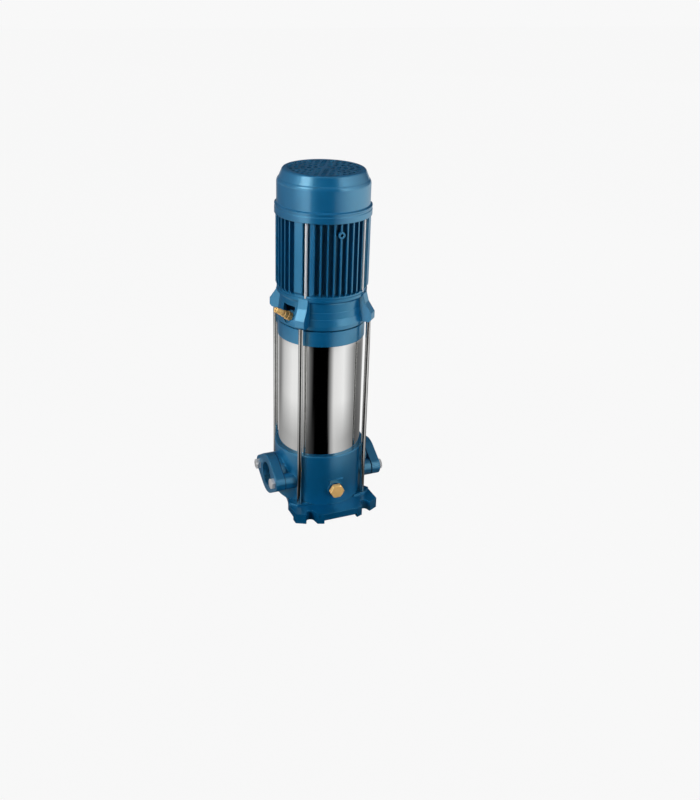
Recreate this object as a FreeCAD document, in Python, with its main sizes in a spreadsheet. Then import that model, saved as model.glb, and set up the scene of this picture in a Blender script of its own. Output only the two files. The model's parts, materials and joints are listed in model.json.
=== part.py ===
"""Vertical multistage in-line pump with its flanged electric motor.

Frame: +Z up along the shaft, X along the two ports (suction at -X), origin at the centre
of the footprint on the floor. Millimetres.
"""
import FreeCAD, Part
import math
import os
import re
import Sketcher

SIZES = (
    # Base casting
    ("port_height", 56, "port axis above the floor"),
    ("foot_height", 6, "relief under the base plate"),
    ("plate_top", 18, "top of the base plate"),
    ("plate_half_length", 104.5, "base plate along Y"),
    ("slot_spacing_x", 100, "anchor slots, centre to centre"),
    ("slot_spacing_y", 180, "anchor slots, centre to centre"),
    ("slot_width", 14, "anchor slot for an M12 bolt"),
    ("plate_side", 49, "straight side of the plate starts here along Y"),
    ("plate_waist", 64, "plate along X where it curves in under the cup"),
    ("cup_radius", 76.6, "outside of the base cup"),
    ("cup_height", 110, "rim of the base cup"),
    ("cup_wall", 10, "wall of the cup below the sleeve seat"),
    ("chamber_floor", 34, "floor of the discharge chamber"),
    ("well_radius", 34, "suction well bore"),
    ("well_wall", 6, "wall of the suction well"),
    ("well_top", 88, "top of the suction well"),
    ("neck_root_radius", 47, "port neck where it meets the cup"),
    ("duct_wall", 5, "wall of the suction duct inside the cup"),
    ("rod_gap", 2.13, "between a tie rod and the cup"),
    ("rod_radius", 4, "M8 tie rod"),
    ("rod_pad_height", 3, "pad at a rod's foot above the plate"),
    ("rod_grip", 16, "thread engaged in the ear"),
    ("rod_foot_grip", 12, "thread engaged in the base"),
    ("drain_height", 47, "drain plug above the floor"),
    ("drain_boss_radius", 14, "boss of the drain plug"),
    ("drain_across", 22, "drain plug hexagon"),
    ("drain_head", 8, "height of the drain plug hexagon"),
    ("drain_thread_radius", 8.2, "G3/8 drain thread"),
    ("washer_thickness", 1.5, "drain plug washer"),
    # Port flanges
    ("port_radius", 20, "water way through base and necks"),
    ("thread_radius", 20.955, "G1 1/4 thread of the counter flange"),
    ("flange_radius", 35, "middle of the oval flange"),
    ("lobe_radius", 15, "bolt lobe of the oval flange"),
    ("bolt_spacing", 75, "flange bolts, centre to centre"),
    ("lug_radius", 14, "bolt lug cast on the base"),
    ("lug_length", 24, "bolt lug from its face into the cup"),
    ("flange_thickness", 16, "counter flange"),
    ("flange_edge", 1.5, "rounded outer edge of the counter flange"),
    ("gasket_thickness", 1, "flange gasket"),
    ("flange_bolt_radius", 5, "M10 flange bolt"),
    ("flange_bolt_across", 17, "M10 hexagon"),
    ("flange_bolt_head", 6.4, "M10 head height"),
    ("flange_bolt_grip", 16, "M10 thread engaged in the base"),
    # Sleeve, head and stages
    ("sleeve_radius", 70.5, "outside of the stainless sleeve"),
    ("sleeve_wall", 1.5, "sleeve sheet"),
    ("sleeve_length", 209, "stainless sleeve"),
    ("sleeve_seat_depth", 12, "sleeve seat below the cup rim"),
    ("ring_section", 1.6, "radius of an O-ring's section"),
    ("band_radius", 71.8, "outside of the discharge head"),
    ("band_height", 25.5, "visible band of the discharge head"),
    ("spigot_height", 12, "spigot of the head inside the sleeve"),
    ("head_plate", 10.5, "thickness of the head's plate"),
    ("head_bore_radius", 62, "hollow of the discharge head"),
    ("tower_height", 19.5, "seal tower above the head"),
    ("tower_radius", 30, "seal tower"),
    ("seal_bore_radius", 19, "bore of the seal tower"),
    ("stage_count", 6, "pump stages"),
    ("stage_room", 19, "from the top stage to the head's band"),
    ("stage_radius", 59.5, "outside of a stage casing"),
    ("stage_wall", 2.5, "wall of a stage casing"),
    ("stage_plate", 1.5, "plates of a stage casing"),
    ("inlet_plate", 8, "plate between suction well and first stage"),
    ("impeller_radius", 48, "impeller"),
    ("impeller_height", 16, "impeller from neck to back"),
    ("eye_radius", 20, "impeller eye"),
    ("neck_wall", 2, "impeller neck"),
    ("blade_count", 7, "impeller blades"),
    ("blade_thickness", 2, "impeller blades"),
    ("shroud", 1.5, "impeller shrouds"),
    ("vane_count", 8, "guide vanes of a stage casing"),
    ("vane_sweep", 40, "guide vanes, degrees"),
    ("blade_sweep", 65, "impeller blades swept back, degrees"),
    ("hub_radius", 10, "impeller hubs and spacers"),
    # Shaft
    ("pump_shaft_radius", 7, "shaft through the stages"),
    ("seal_shaft_radius", 8, "shaft at the seal"),
    ("core_shaft_radius", 14, "shaft through the rotor core"),
    ("fan_shaft_radius", 8, "shaft at the fan"),
    ("shaft_foot", 76, "lower end of the shaft"),
    ("key_width", 4, "impeller key"),
    ("key_length", 14, "impeller key"),
    ("key_depth", 2.5, "keyway in the shaft"),
    ("key_stand", 1.3, "key above the shaft's surface"),
    ("nut_corner_radius", 13, "nut under the first impeller"),
    ("nut_height", 8, "nut under the first impeller"),
    # Lantern
    ("lantern_gap", 2.5, "shadow gap under the lantern's skirt"),
    ("lantern_height", 52, "lantern from skirt to motor"),
    ("lantern_wall", 5, "wall of the lantern"),
    ("skirt_radius", 73, "skirt of the lantern"),
    ("waist_radius", 68.4, "waist of the lantern"),
    ("collar_radius", 73.5, "collar under the motor"),
    ("ear_width", 16, "ear across"),
    ("window_width", 28, "window in the lantern"),
    ("window_height", 21, "window in the lantern"),
    ("window_sill", 12, "window above the skirt's edge"),
    ("window_angle", 198, "direction of the vent window"),
    # Vent valve
    ("vent_tilt", 31, "vent valve above the horizontal"),
    ("vent_boss_radius", 10.5, "boss that carries the vent valve"),
    ("vent_reach", 66, "end of the vent boss from the shaft"),
    ("vent_across", 13, "vent valve hexagon"),
    ("vent_thread_radius", 5, "vent valve thread"),
    ("vent_screw_radius", 2.5, "vent screw"),
    # Motor
    ("frame_length", 125, "motor frame"),
    ("frame_bore_radius", 62.5, "bore of the motor frame"),
    ("frame_wall", 3.5, "wall under the fins"),
    ("fin_radius", 75.3, "tips of the fins"),
    ("fin_thickness", 2.4, "fins"),
    ("fin_count", 44, "fins round the frame"),
    ("pad_radius", 75.8, "corner ribs and the end shield"),
    ("rib_start", 33, "broad corner rib, degrees from X"),
    ("groove_start", 43.2, "groove of a long bolt, degrees from X"),
    ("groove_end", 51.5, "groove of a long bolt, degrees from X"),
    ("rib_end", 57, "narrow corner rib, degrees from X"),
    ("rib_slant", 5, "narrow rib's outer face, fall towards its groove"),
    ("motor_bolt_radius", 2.5, "M5 motor through bolt"),
    ("motor_bolt_across", 8, "M5 hexagon"),
    ("motor_bolt_head", 3.5, "M5 head height"),
    ("motor_bolt_grip", 13, "thread engaged in the lantern"),
    ("motor_bolt_circle", 70.2, "motor bolts from the shaft"),
    ("motor_bolt_angle", 46.5, "motor bolts, degrees from X"),
    ("core_length", 90, "stator and rotor cores"),
    ("air_gap", 0.5, "between rotor and stator"),
    ("rotor_radius", 31, "rotor core"),
    ("winding_overhang", 10, "windings beyond the stator core"),
    ("lower_bearing_radius", 26, "6205 bearing"),
    ("lower_bearing_bore", 12.5, "6205 bearing"),
    ("lower_bearing_width", 15, "6205 bearing"),
    ("lower_ball_radius", 3.95, "6205 bearing"),
    ("lower_ball_count", 9, "6205 bearing"),
    ("upper_bearing_radius", 23.5, "6204 bearing"),
    ("upper_bearing_bore", 10, "6204 bearing"),
    ("upper_bearing_width", 14, "6204 bearing"),
    ("upper_ball_radius", 3.95, "6204 bearing"),
    ("upper_ball_count", 8, "6204 bearing"),
    ("spring_height", 1.5, "wave spring"),
    ("shield_thickness", 4.5, "upper end shield"),
    # Fan and cover
    ("rim_radius", 77.3, "rim of the fan cover"),
    ("rim_height", 16.5, "rim of the fan cover"),
    ("rim_overlap", 4.3, "rim over the motor frame"),
    ("cover_radius", 74, "fan cover above its rim"),
    ("cover_height", 69.9, "fan cover"),
    ("cover_crown_radius", 64, "flat top of the fan cover"),
    ("shoulder_height", 21, "sloping shoulder of the fan cover"),
    ("cover_sheet", 1.2, "fan cover sheet"),
    ("grille_radius", 57, "outermost grille slots"),
    ("grille_pitch", 10, "from one ring of slots to the next"),
    ("grille_slot", 6.5, "radial length of a slot"),
    ("grille_rings", 5, "rings of slots in the fan cover"),
    ("fan_radius", 60, "fan blades"),
    ("fan_height", 20, "fan blades"),
    ("fan_blades", 8, "fan blades"),
    ("fan_gap", 8, "fan above the end shield"),
    # Terminal box
    ("box_half_width", 40, "terminal box along X"),
    ("box_height", 92, "terminal box along Z"),
    ("box_seat", 77.6, "flat of the frame from the shaft"),
    ("box_depth", 20.2, "terminal box"),
    ("box_wall", 2.5, "terminal box"),
    ("lid_depth", 4.5, "terminal box lid"),
    ("block_length", 50, "terminal block"),
    ("block_depth", 10, "terminal block"),
    ("block_height", 34, "terminal block"),
    ("box_drop", 1.5, "top of the box below the frame's top"),
    ("gland_radius", 10, "M20 cable gland"),
    ("gland_bore_radius", 6.5, "way for the cable"),
    ("gland_length", 20, "gland outside the box"),
    # Fits
    ("seat_clearance", 0.05, "radial, between pieces that seat"),
    ("spigot_clearance", 0.15, "radial, head in the sleeve"),
    ("running_clearance", 0.06, "radial, between pieces that turn"),
)

PLACES = {
    "plate_half_width": "cup_radius - 1.6",
    "drain_face": "cup_radius + 2.4",
    "port_face": "cup_radius + 3.4",
    "rod_circle": "cup_radius + rod_gap + rod_radius",
    "rod_offset": "rod_circle / sqrt(2)",
    "ear_radius": "rod_circle + 7.27",
    "sleeve_bottom": "cup_height - sleeve_seat_depth",
    "band_bottom": "sleeve_bottom + sleeve_length",
    "band_top": "band_bottom + band_height",
    "head_ceiling": "band_top - head_plate",
    "spigot_bottom": "band_bottom - spigot_height",
    "spigot_radius": "sleeve_radius - sleeve_wall - spigot_clearance",
    "tower_top": "band_top + tower_height",
    "skirt_bottom": "band_top + lantern_gap",
    "lantern_top": "skirt_bottom + lantern_height",
    "rod_foot": "plate_top + rod_pad_height - rod_foot_grip",
    "ear_bottom": "skirt_bottom + 4.5",
    "rod_top": "ear_bottom + rod_grip",
    "first_stage": "well_top + inlet_plate",
    "stack_top": "band_bottom - stage_room",
    "stage_pitch": "(stack_top - first_stage) / stage_count",
    "flange_back": "port_face + gasket_thickness",
    "flange_front": "flange_back + flange_thickness",
    "lean": "(flange_radius - lobe_radius) / (bolt_spacing / 2)",
    "rise": "sqrt(1 - lean ^ 2)",
    "slot_x": "slot_spacing_x / 2",
    "slot_y": "slot_spacing_y / 2",
    "slot_half": "slot_width / 2",
    "frame_top": "lantern_top + frame_length",
    "core_bottom": "lantern_top + 13",
    "core_top": "core_bottom + core_length",
    "stator_bore": "rotor_radius + air_gap",
    "lower_bearing": "lantern_top - lower_bearing_width - 6",
    "shield_hub_bottom": "frame_top - 12",
    "upper_spring": "shield_hub_bottom + 2",
    "upper_bearing": "upper_spring + spring_height",
    "shield_top": "frame_top + shield_thickness",
    "fan_bottom": "shield_top + fan_gap",
    "fan_top": "fan_bottom + fan_height",
    "rim_bottom": "frame_top - rim_overlap",
    "rim_top": "rim_bottom + rim_height",
    "cover_top": "rim_bottom + cover_height",
    "shoulder": "cover_top - shoulder_height",
    "sill": "skirt_bottom + window_sill",
    "vent_height": "skirt_bottom + 13",
    "inside_foot": "skirt_radius - 13",
    "motor_bolt_x": "motor_bolt_circle * cos(motor_bolt_angle)",
    "motor_bolt_y": "motor_bolt_circle * sin(motor_bolt_angle)",
    "box_top": "frame_top - box_drop",
    "box_bottom": "box_top - box_height",
    "box_mouth": "box_seat + box_depth",
    "lid_face": "box_mouth + lid_depth",
    "gland_place": "box_seat + (box_wall + box_depth) / 2",
    "gland_height": "box_bottom + 22",
    "gland_thread": "gland_radius * 0.8",
    "seal_seat_bottom": "tower_top - 16",
    "seal_foot": "seal_seat_bottom - 18",
    "spacer_length": "stage_pitch - impeller_height",
}

doc = FreeCAD.newDocument("vertical_multistage_pump")
sheet = doc.addObject("Spreadsheet::Sheet", "Sizes")
for row, (alias, number, note) in enumerate(SIZES, start=1):
    sheet.set(f"A{row}", alias)
    sheet.set(f"B{row}", str(number))
    sheet.setAlias(f"B{row}", alias)
    sheet.set(f"C{row}", note)
doc.recompute()

NAMES = {alias for alias, number, note in SIZES}
FOUR_CORNERS = ((1, 1), (-1, 1), (-1, -1), (1, -1))
NODES = []
reader = doc.addObject("App::FeaturePython", "Reader")


def bound(text):
    """The expression with every size and place written as cells of the sheet."""
    def cell(match):
        word = match.group(0)
        if word in PLACES:
            return "(" + bound(PLACES[word]) + ")"
        return "Sizes." + word if word in NAMES else word
    return re.sub(r"[a-z_]+", cell, str(text))


def value(text):
    """The number that an expression gives with the sheet's present sizes."""
    result = reader.evalExpression(bound(text))
    return float(getattr(result, "Value", result))


def node(piece, label):
    """Give a finished piece its name and list it for writing."""
    piece.Label = label
    NODES.append(piece)
    return piece


def plane(body, role):
    return next(item for item in body.Origin.OriginFeatures if item.Role == role)


def new_body(label):
    return node(doc.addObject("PartDesign::Body", label), label)


def new_sketch(body, role, offset="0", turn=0):
    """A sketch on an origin plane, moved along its normal and turned about the shaft."""
    sketch = body.newObject("Sketcher::SketchObject", body.Label + "_sketch")
    sketch.AttachmentSupport = [(plane(body, role), "")]
    sketch.MapMode = "FlatFace"
    axis = FreeCAD.Vector(0, 0, 1) if role == "XY_Plane" else FreeCAD.Vector(0, 1, 0)
    turned = FreeCAD.Rotation(axis, turn)
    shift = turned.multVec(FreeCAD.Vector(0, 0, value(offset)))
    sketch.AttachmentOffset = FreeCAD.Placement(shift, turned)
    if turn == 0:
        sketch.setExpression("AttachmentOffset.Base.z", bound(offset))
    return sketch


def fix_point(sketch, element, position, across, up):
    """Hold a point of the sketch by its two distances from the origin."""
    for kind, text in (("DistanceX", across), ("DistanceY", up)):
        constraint = Sketcher.Constraint(kind, -1, 1, element, position, value(text))
        index = sketch.addConstraint(constraint)
        sketch.setExpression(f"Constraints[{index}]", bound(text))


def add_outline(sketch, points):
    """A closed outline through points (across, up); ("via", across, up) bends a side to an arc."""
    corners = [point for point in points if point[0] != "via"]
    bends = {}
    seen = 0
    for point in points:
        if point[0] == "via":
            bends[seen - 1] = point[1:]
        else:
            seen += 1
    spots = [FreeCAD.Vector(value(x), value(y), 0) for x, y in corners]
    first = sketch.GeometryCount
    sides = []
    for index, spot in enumerate(spots):
        follow = spots[(index + 1) % len(spots)]
        if index in bends:
            middle = FreeCAD.Vector(value(bends[index][0]), value(bends[index][1]), 0)
            side = sketch.addGeometry(Part.Arc(spot, middle, follow), False)
        else:
            side = sketch.addGeometry(Part.LineSegment(spot, follow), False)
        start = 1 if (sketch.getPoint(side, 1) - spot).Length < 1e-6 else 2
        sides.append((side, start))
    for index, (side, start) in enumerate(sides):
        following, following_start = sides[(index + 1) % len(sides)]
        sketch.addConstraint(
            Sketcher.Constraint("Coincident", side, 3 - start, following, following_start))
        fix_point(sketch, side, start, *corners[index])
    for index, (across, up) in bends.items():
        spot = FreeCAD.Vector(value(across), value(up), 0)
        mark = sketch.addGeometry(Part.Point(spot), True)
        fix_point(sketch, mark, 1, across, up)
        sketch.addConstraint(Sketcher.Constraint("PointOnObject", mark, 1, first + index))


def add_circle(sketch, across, up, radius):
    centre = FreeCAD.Vector(value(across), value(up), 0)
    normal = FreeCAD.Vector(0, 0, 1)
    ring = sketch.addGeometry(Part.Circle(centre, normal, value(radius)), False)
    fix_point(sketch, ring, 3, across, up)
    index = sketch.addConstraint(Sketcher.Constraint("Radius", ring, value(radius)))
    sketch.setExpression(f"Constraints[{index}]", bound(radius))


def add_hexagon(sketch, across, up, flats):
    """A regular hexagon, its size across flats."""
    reach = f"({flats}) / sqrt(3)"
    add_outline(sketch, [
        (f"({across}) + {reach} * {math.cos(math.radians(60 * side)):.12f}",
         f"({up}) + {reach} * {math.sin(math.radians(60 * side)):.12f}") for side in range(6)])


def pad(body, sketch, length, back=False, middle=False):
    feature = body.newObject("PartDesign::Pad", body.Label + "_pad")
    feature.Profile = sketch
    feature.SideType = "Symmetric" if middle else "One side"
    feature.setExpression("Length", bound(length))
    feature.Reversed = back
    sketch.Visibility = False
    return feature


def pocket(body, sketch, length, back=False):
    """Cut against the sketch's normal, or along it with back."""
    feature = body.newObject("PartDesign::Pocket", body.Label + "_pocket")
    feature.Profile = sketch
    feature.setExpression("Length", bound(length))
    feature.Reversed = back
    return feature


def revolve(body, points, cut=False):
    """Turn an outline (radius, height) about the shaft, adding or cutting."""
    sketch = new_sketch(body, "XZ_Plane")
    add_outline(sketch, points)
    kind = "PartDesign::Groove" if cut else "PartDesign::Revolution"
    feature = body.newObject(kind, body.Label + "_turning")
    feature.Profile = sketch
    feature.ReferenceAxis = (sketch, ["V_Axis"])
    feature.Angle = 360
    return feature


def pattern(body, features, count):
    """Repeat features round the shaft."""
    repeat = body.newObject("PartDesign::PolarPattern", body.Label + "_pattern")
    repeat.Originals = features
    repeat.Axis = (plane(body, "Z_Axis"), [""])
    repeat.Angle = 360
    repeat.setExpression("Occurrences", bound(count))
    body.Tip = repeat
    return repeat


def turned_piece(label, points):
    body = new_body(label)
    revolve(body, points)
    return body


def ring_points(inner, outer, low, high):
    return [(inner, low), (outer, low), (outer, high), (inner, high)]


def torus(name, ring_radius, section, height):
    piece = doc.addObject("Part::Torus", name)
    piece.setExpression("Radius1", bound(ring_radius))
    piece.setExpression("Radius2", bound(section))
    piece.setExpression("Placement.Base.z", bound(height))
    return piece


def cylinder(name, radius, length, low="0"):
    piece = doc.addObject("Part::Cylinder", name)
    piece.setExpression("Radius", bound(radius))
    piece.setExpression("Height", bound(length))
    piece.setExpression("Placement.Base.z", bound(low))
    return piece


def hexagon_screw(name, flats, head, radius, length):
    """A screw along its own Z, its shank below the seat at zero."""
    prism = doc.addObject("Part::Prism", name + "_hexagon")
    prism.Polygon = 6
    prism.setExpression("Circumradius", bound(f"({flats}) / sqrt(3)"))
    prism.setExpression("Height", bound(head))
    crown = doc.addObject("Part::Cone", name + "_crown")
    crown.setExpression("Height", bound(head))
    crown.setExpression("Radius2", bound(f"({flats}) * 0.475"))
    crown.setExpression("Radius1", bound(f"({flats}) * 0.475 + ({head}) * sqrt(3)"))
    top = doc.addObject("Part::Common", name + "_head")
    top.Base = prism
    top.Tool = crown
    shank = cylinder(name + "_shank", radius, length, f"-({length})")
    screw = doc.addObject("Part::Fuse", name)
    screw.Base = top
    screw.Tool = shank
    return screw


def group(label, pieces):
    whole = doc.addObject("Part::Compound", label)
    whole.Links = pieces
    return node(whole, label)


def place(piece, x, y, z, direction):
    """Stand a piece at a bound point, with its own Z along a direction."""
    piece.Placement = FreeCAD.Placement(
        FreeCAD.Vector(value(x), value(y), value(z)),
        FreeCAD.Rotation(FreeCAD.Vector(0, 0, 1), FreeCAD.Vector(*direction)))
    for axis, text in (("x", x), ("y", y), ("z", z)):
        piece.setExpression("Placement.Base." + axis, bound(text))
    return piece


def signed(sign, text):
    return text if sign > 0 else f"-({text})"


def four_circles(body, offset, across, up, radius):
    """A level sketch with the same circle at four mirrored places."""
    sketch = new_sketch(body, "XY_Plane", offset)
    for side, end in FOUR_CORNERS:
        add_circle(sketch, signed(side, across), signed(end, up), radius)
    return sketch


def four_outlines(body, offset, points):
    """A level sketch with the same outline in four mirrored places."""
    sketch = new_sketch(body, "XY_Plane", offset)
    for side, end in FOUR_CORNERS:
        add_outline(sketch, [(signed(side, across), signed(end, up)) for across, up in points])
    return sketch


def polar(radius, angle):
    return f"({radius}) * cos({angle})", f"({radius}) * sin({angle})"


def plate_corner(side, end):
    """Edge of the base plate round one open slot, from its side to its middle."""
    points = [
        ("plate_half_width", "slot_y - 4"),
        ("slot_x + slot_half + 2", "slot_y + 4.5"),
        ("slot_x + slot_half", "slot_y"),
        ("via", "slot_x", "slot_y - slot_half"),
        ("slot_x - slot_half", "slot_y"),
        ("slot_x - slot_half - 2", "plate_half_length - 3.5"),
        ("slot_x - slot_half - 11", "plate_half_length"),
    ]
    placed = []
    for point in points:
        across, up = point[-2:]
        spot = (signed(side, across), signed(end, up))
        placed.append(("via",) + spot if point[0] == "via" else spot)
    return placed if side * end > 0 else placed[::-1]


def oval(height="port_height"):
    """Outline of the oval flange: a middle and two lobes with straight sides between."""
    middle_y, middle_z = "flange_radius * lean", "flange_radius * rise"
    lobe_y, lobe_z = "bolt_spacing / 2 + lobe_radius * lean", "lobe_radius * rise"
    tip = "bolt_spacing / 2 + lobe_radius"
    return [
        (middle_y, f"{height} + {middle_z}"),
        ("via", "0", f"{height} + flange_radius"),
        (f"-({middle_y})", f"{height} + {middle_z}"),
        (f"-({lobe_y})", f"{height} + {lobe_z}"),
        ("via", f"-({tip})", height),
        (f"-({lobe_y})", f"{height} - {lobe_z}"),
        (f"-({middle_y})", f"{height} - {middle_z}"),
        ("via", "0", f"{height} - flange_radius"),
        (middle_y, f"{height} - {middle_z}"),
        (lobe_y, f"{height} - {lobe_z}"),
        ("via", tip, height),
        (lobe_y, f"{height} + {lobe_z}"),
    ]


def port_sketch(body, offset, radius):
    sketch = new_sketch(body, "YZ_Plane", offset)
    add_circle(sketch, "0", "port_height", radius)
    return sketch


def lobe_holes(body, offset, radius):
    sketch = new_sketch(body, "YZ_Plane", offset)
    for side in ("", "-"):
        add_circle(sketch, side + "bolt_spacing / 2", "port_height", radius)
    return sketch


def base_casting():
    body = new_body("base_casting")
    plate = new_sketch(body, "XY_Plane", "foot_height")
    edge = []
    for side, end in FOUR_CORNERS:
        edge += plate_corner(side, end)
        if side * end < 0:
            edge += [(signed(side, "plate_half_width"), signed(end, "plate_side")),
                     ("via", signed(side, "plate_waist"), "0"),
                     (signed(side, "plate_half_width"), signed(-end, "plate_side"))]
    add_outline(plate, edge)
    pad(body, plate, "plate_top - foot_height")

    feet = new_sketch(body, "XY_Plane")
    for side, end in FOUR_CORNERS:
        inner = [(signed(side, "slot_x - 20"), signed(end, "plate_half_length")),
                 (signed(side, "slot_x - 20"), signed(end, "slot_y - 16")),
                 (signed(side, "plate_half_width"), signed(end, "slot_y - 16"))]
        corner = plate_corner(side, end)
        add_outline(feet, corner + inner if side * end > 0 else corner + inner[::-1])
    pad(body, feet, "foot_height + 1")

    revolve(body, [
        ("0", "foot_height"), ("cup_radius - 16", "foot_height"), ("cup_radius - 3", "plate_top - 3"),
        ("cup_radius", "plate_top"), ("cup_radius", "cup_height - 2"),
        ("via", "cup_radius - 0.6", "cup_height - 0.6"), ("cup_radius - 2", "cup_height"),
        ("0", "cup_height")])

    for side in ("", "-"):
        hood = body.newObject("PartDesign::AdditiveLoft", "hood")
        hood.Profile = port_sketch(body, side + "40", "neck_root_radius")
        hood.Sections = [port_sketch(body, side + "(port_face - 4)", "flange_radius - 1")]
        rim = port_sketch(body, side + "port_face", "flange_radius")
        pad(body, rim, "7", back=side == "")
        lugs = lobe_holes(body, side + "port_face", "lug_radius")
        pad(body, lugs, "lug_length", back=side == "")

    for rib_side in (1, -1):
        web = new_sketch(body, "XZ_Plane")
        add_outline(web, [
            (signed(rib_side, "plate_waist - 8"), "foot_height + 2"),
            (signed(rib_side, "plate_waist + 2"), "foot_height + 2"),
            (signed(rib_side, "port_face - 3"), "port_height - flange_radius + 3"),
            (signed(rib_side, "plate_waist - 8"), "port_height - flange_radius + 6")])
        pad(body, web, "10", middle=True)

    rod_pads = four_outlines(body, "plate_top - 1", [
        ("plate_half_width", "rod_offset - 7.5"), ("rod_offset + 4.5", "rod_offset + 4.5"),
        ("rod_offset - 5.5", "rod_offset + 7"), ("rod_offset - 18.5", "rod_offset + 9"),
        ("rod_offset - 22.5", "rod_offset - 8.5"), ("rod_offset - 0.5", "rod_offset - 22.5"),
        ("rod_offset + 7.5", "rod_offset - 20.5")])
    pad(body, rod_pads, "rod_pad_height + 1")

    drain = new_sketch(body, "XZ_Plane", "cup_radius - cup_wall")
    add_circle(drain, "0", "drain_height", "drain_boss_radius")
    pad(body, drain, "drain_face - cup_radius + cup_wall")
    mark = new_sketch(body, "XZ_Plane", "cup_radius - cup_wall")
    add_outline(mark, [
        ("-drain_boss_radius + 3", "drain_height + 8"), ("drain_boss_radius + 1", "drain_height + 8"),
        ("drain_boss_radius + 1", "drain_height + 18.5"), ("-drain_boss_radius + 3", "drain_height + 18.5")])
    pad(body, mark, "drain_face - cup_radius + cup_wall - 0.4")

    chamber_wall = "cup_radius - cup_wall"
    ring_wall = "sleeve_radius + 2 * ring_section + seat_clearance"
    revolve(body, [
        ("well_radius + well_wall", "chamber_floor"), (chamber_wall, "chamber_floor"),
        (chamber_wall, "sleeve_bottom"), ("sleeve_radius + seat_clearance", "sleeve_bottom"),
        ("sleeve_radius + seat_clearance", "cup_height - 8"), (ring_wall, "cup_height - 8"),
        (ring_wall, "cup_height - 8 + 2.5 * ring_section"),
        ("sleeve_radius + seat_clearance", "cup_height - 8 + 2.5 * ring_section"),
        ("sleeve_radius + seat_clearance", "cup_height"), ("0", "cup_height"),
        ("0", "well_top"), ("well_radius + well_wall", "well_top")], cut=True)
    duct = port_sketch(body, "-(cup_radius - cup_wall + 2)", "port_radius + duct_wall")
    pad(body, duct, "cup_radius - cup_wall + 2 - well_radius + 4")
    revolve(body, ring_points("0", "well_radius", "port_height - port_radius - 2", "well_top"), cut=True)
    pocket(body, port_sketch(body, "-port_face", "port_radius"), "port_face", back=True)
    pocket(body, port_sketch(body, "port_face", "port_radius"), "port_face - well_radius - well_wall - 4")
    for side in ("", "-"):
        pocket(body, lobe_holes(body, side + "port_face", "flange_bolt_radius + seat_clearance"),
               "flange_bolt_grip + 2", back=side == "-")
    rods = four_circles(body, "plate_top + rod_pad_height", "rod_offset", "rod_offset",
                        "rod_radius + seat_clearance")
    pocket(body, rods, "rod_foot_grip")
    hole = new_sketch(body, "XZ_Plane", "drain_face")
    add_circle(hole, "0", "drain_height", "drain_thread_radius + seat_clearance")
    pocket(body, hole, "drain_face - cup_radius + cup_wall + 1")
    return body


def counter_flange(label, side):
    """A threaded oval flange, bolted on with its outer edge rounded."""
    sign = "" if side > 0 else "-"
    body = new_body(label)
    face = new_sketch(body, "YZ_Plane", sign + "(flange_back)")
    add_outline(face, oval())
    block = pad(body, face, "flange_thickness", back=side < 0)
    doc.recompute()
    front = side * value("flange_front")
    edges = [f"Edge{index}" for index, edge in enumerate(block.Shape.Edges, start=1)
             if abs(edge.BoundBox.XMin - front) < 1e-4 and abs(edge.BoundBox.XMax - front) < 1e-4]
    rounding = body.newObject("PartDesign::Fillet", label + "_rounding")
    rounding.Base = (block, edges)
    rounding.setExpression("Radius", bound("flange_edge"))
    pocket(body, port_sketch(body, sign + "(flange_front)", "thread_radius"),
           "flange_thickness", back=side < 0)
    pocket(body, lobe_holes(body, sign + "(flange_front)", "flange_bolt_radius + 0.5"),
           "flange_thickness", back=side < 0)
    return body


def gasket(label, side):
    sign = "" if side > 0 else "-"
    body = new_body(label)
    face = new_sketch(body, "YZ_Plane", sign + "port_face")
    add_outline(face, oval())
    add_circle(face, "0", "port_height", "thread_radius + 1")
    for bolt in ("", "-"):
        add_circle(face, bolt + "bolt_spacing / 2", "port_height", "flange_bolt_radius + 0.5")
    pad(body, face, "gasket_thickness", back=side < 0)
    return body


def flange_bolts():
    bolts = []
    for side in (1, -1):
        for end in (1, -1):
            bolt = hexagon_screw(
                "flange_bolt", "flange_bolt_across", "flange_bolt_head", "flange_bolt_radius",
                "flange_thickness + gasket_thickness + flange_bolt_grip")
            bolts.append(place(bolt, signed(side, "flange_front"), signed(end, "bolt_spacing / 2"),
                               "port_height", (side, 0, 0)))
    return group("flange_bolts", bolts)


def drain_plug():
    plug = hexagon_screw("drain_plug", "drain_across", "drain_head", "drain_thread_radius",
                         "washer_thickness + 12")
    place(plug, "0", "-(drain_face + washer_thickness)", "drain_height", (0, -1, 0))
    washer = new_body("drain_plug_washer")
    face = new_sketch(washer, "XZ_Plane", "drain_face")
    add_circle(face, "0", "drain_height", "drain_across / 2 + 1.5")
    add_circle(face, "0", "drain_height", "drain_thread_radius + 0.2")
    pad(washer, face, "washer_thickness")
    return node(plug, "drain_plug")


def outer_sleeve():
    return turned_piece("outer_sleeve", ring_points(
        "sleeve_radius - sleeve_wall", "sleeve_radius", "sleeve_bottom", "band_bottom"))


def sleeve_rings():
    lower = torus("lower_ring", "sleeve_radius + seat_clearance / 2 + ring_section",
                  "ring_section - seat_clearance / 2", "cup_height - 8 + 1.25 * ring_section")
    upper = torus("upper_ring", "sleeve_radius - sleeve_wall - ring_section - seat_clearance / 2",
                  "ring_section - seat_clearance / 2", "spigot_bottom + 6")
    return group("sleeve_seal_rings", [lower, upper])


def vent_direction():
    turn = math.radians(value("window_angle"))
    tilt = math.radians(value("vent_tilt"))
    return FreeCAD.Vector(math.cos(turn) * math.cos(tilt), math.sin(turn) * math.cos(tilt), math.sin(tilt))


def vent_point(along):
    """A point on the vent's axis, measured outward from the end of its boss."""
    turn = math.radians(value("window_angle"))
    height = value("vent_height")
    end = FreeCAD.Vector(value("vent_reach") * math.cos(turn), value("vent_reach") * math.sin(turn), height)
    return end + vent_direction() * along


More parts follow.
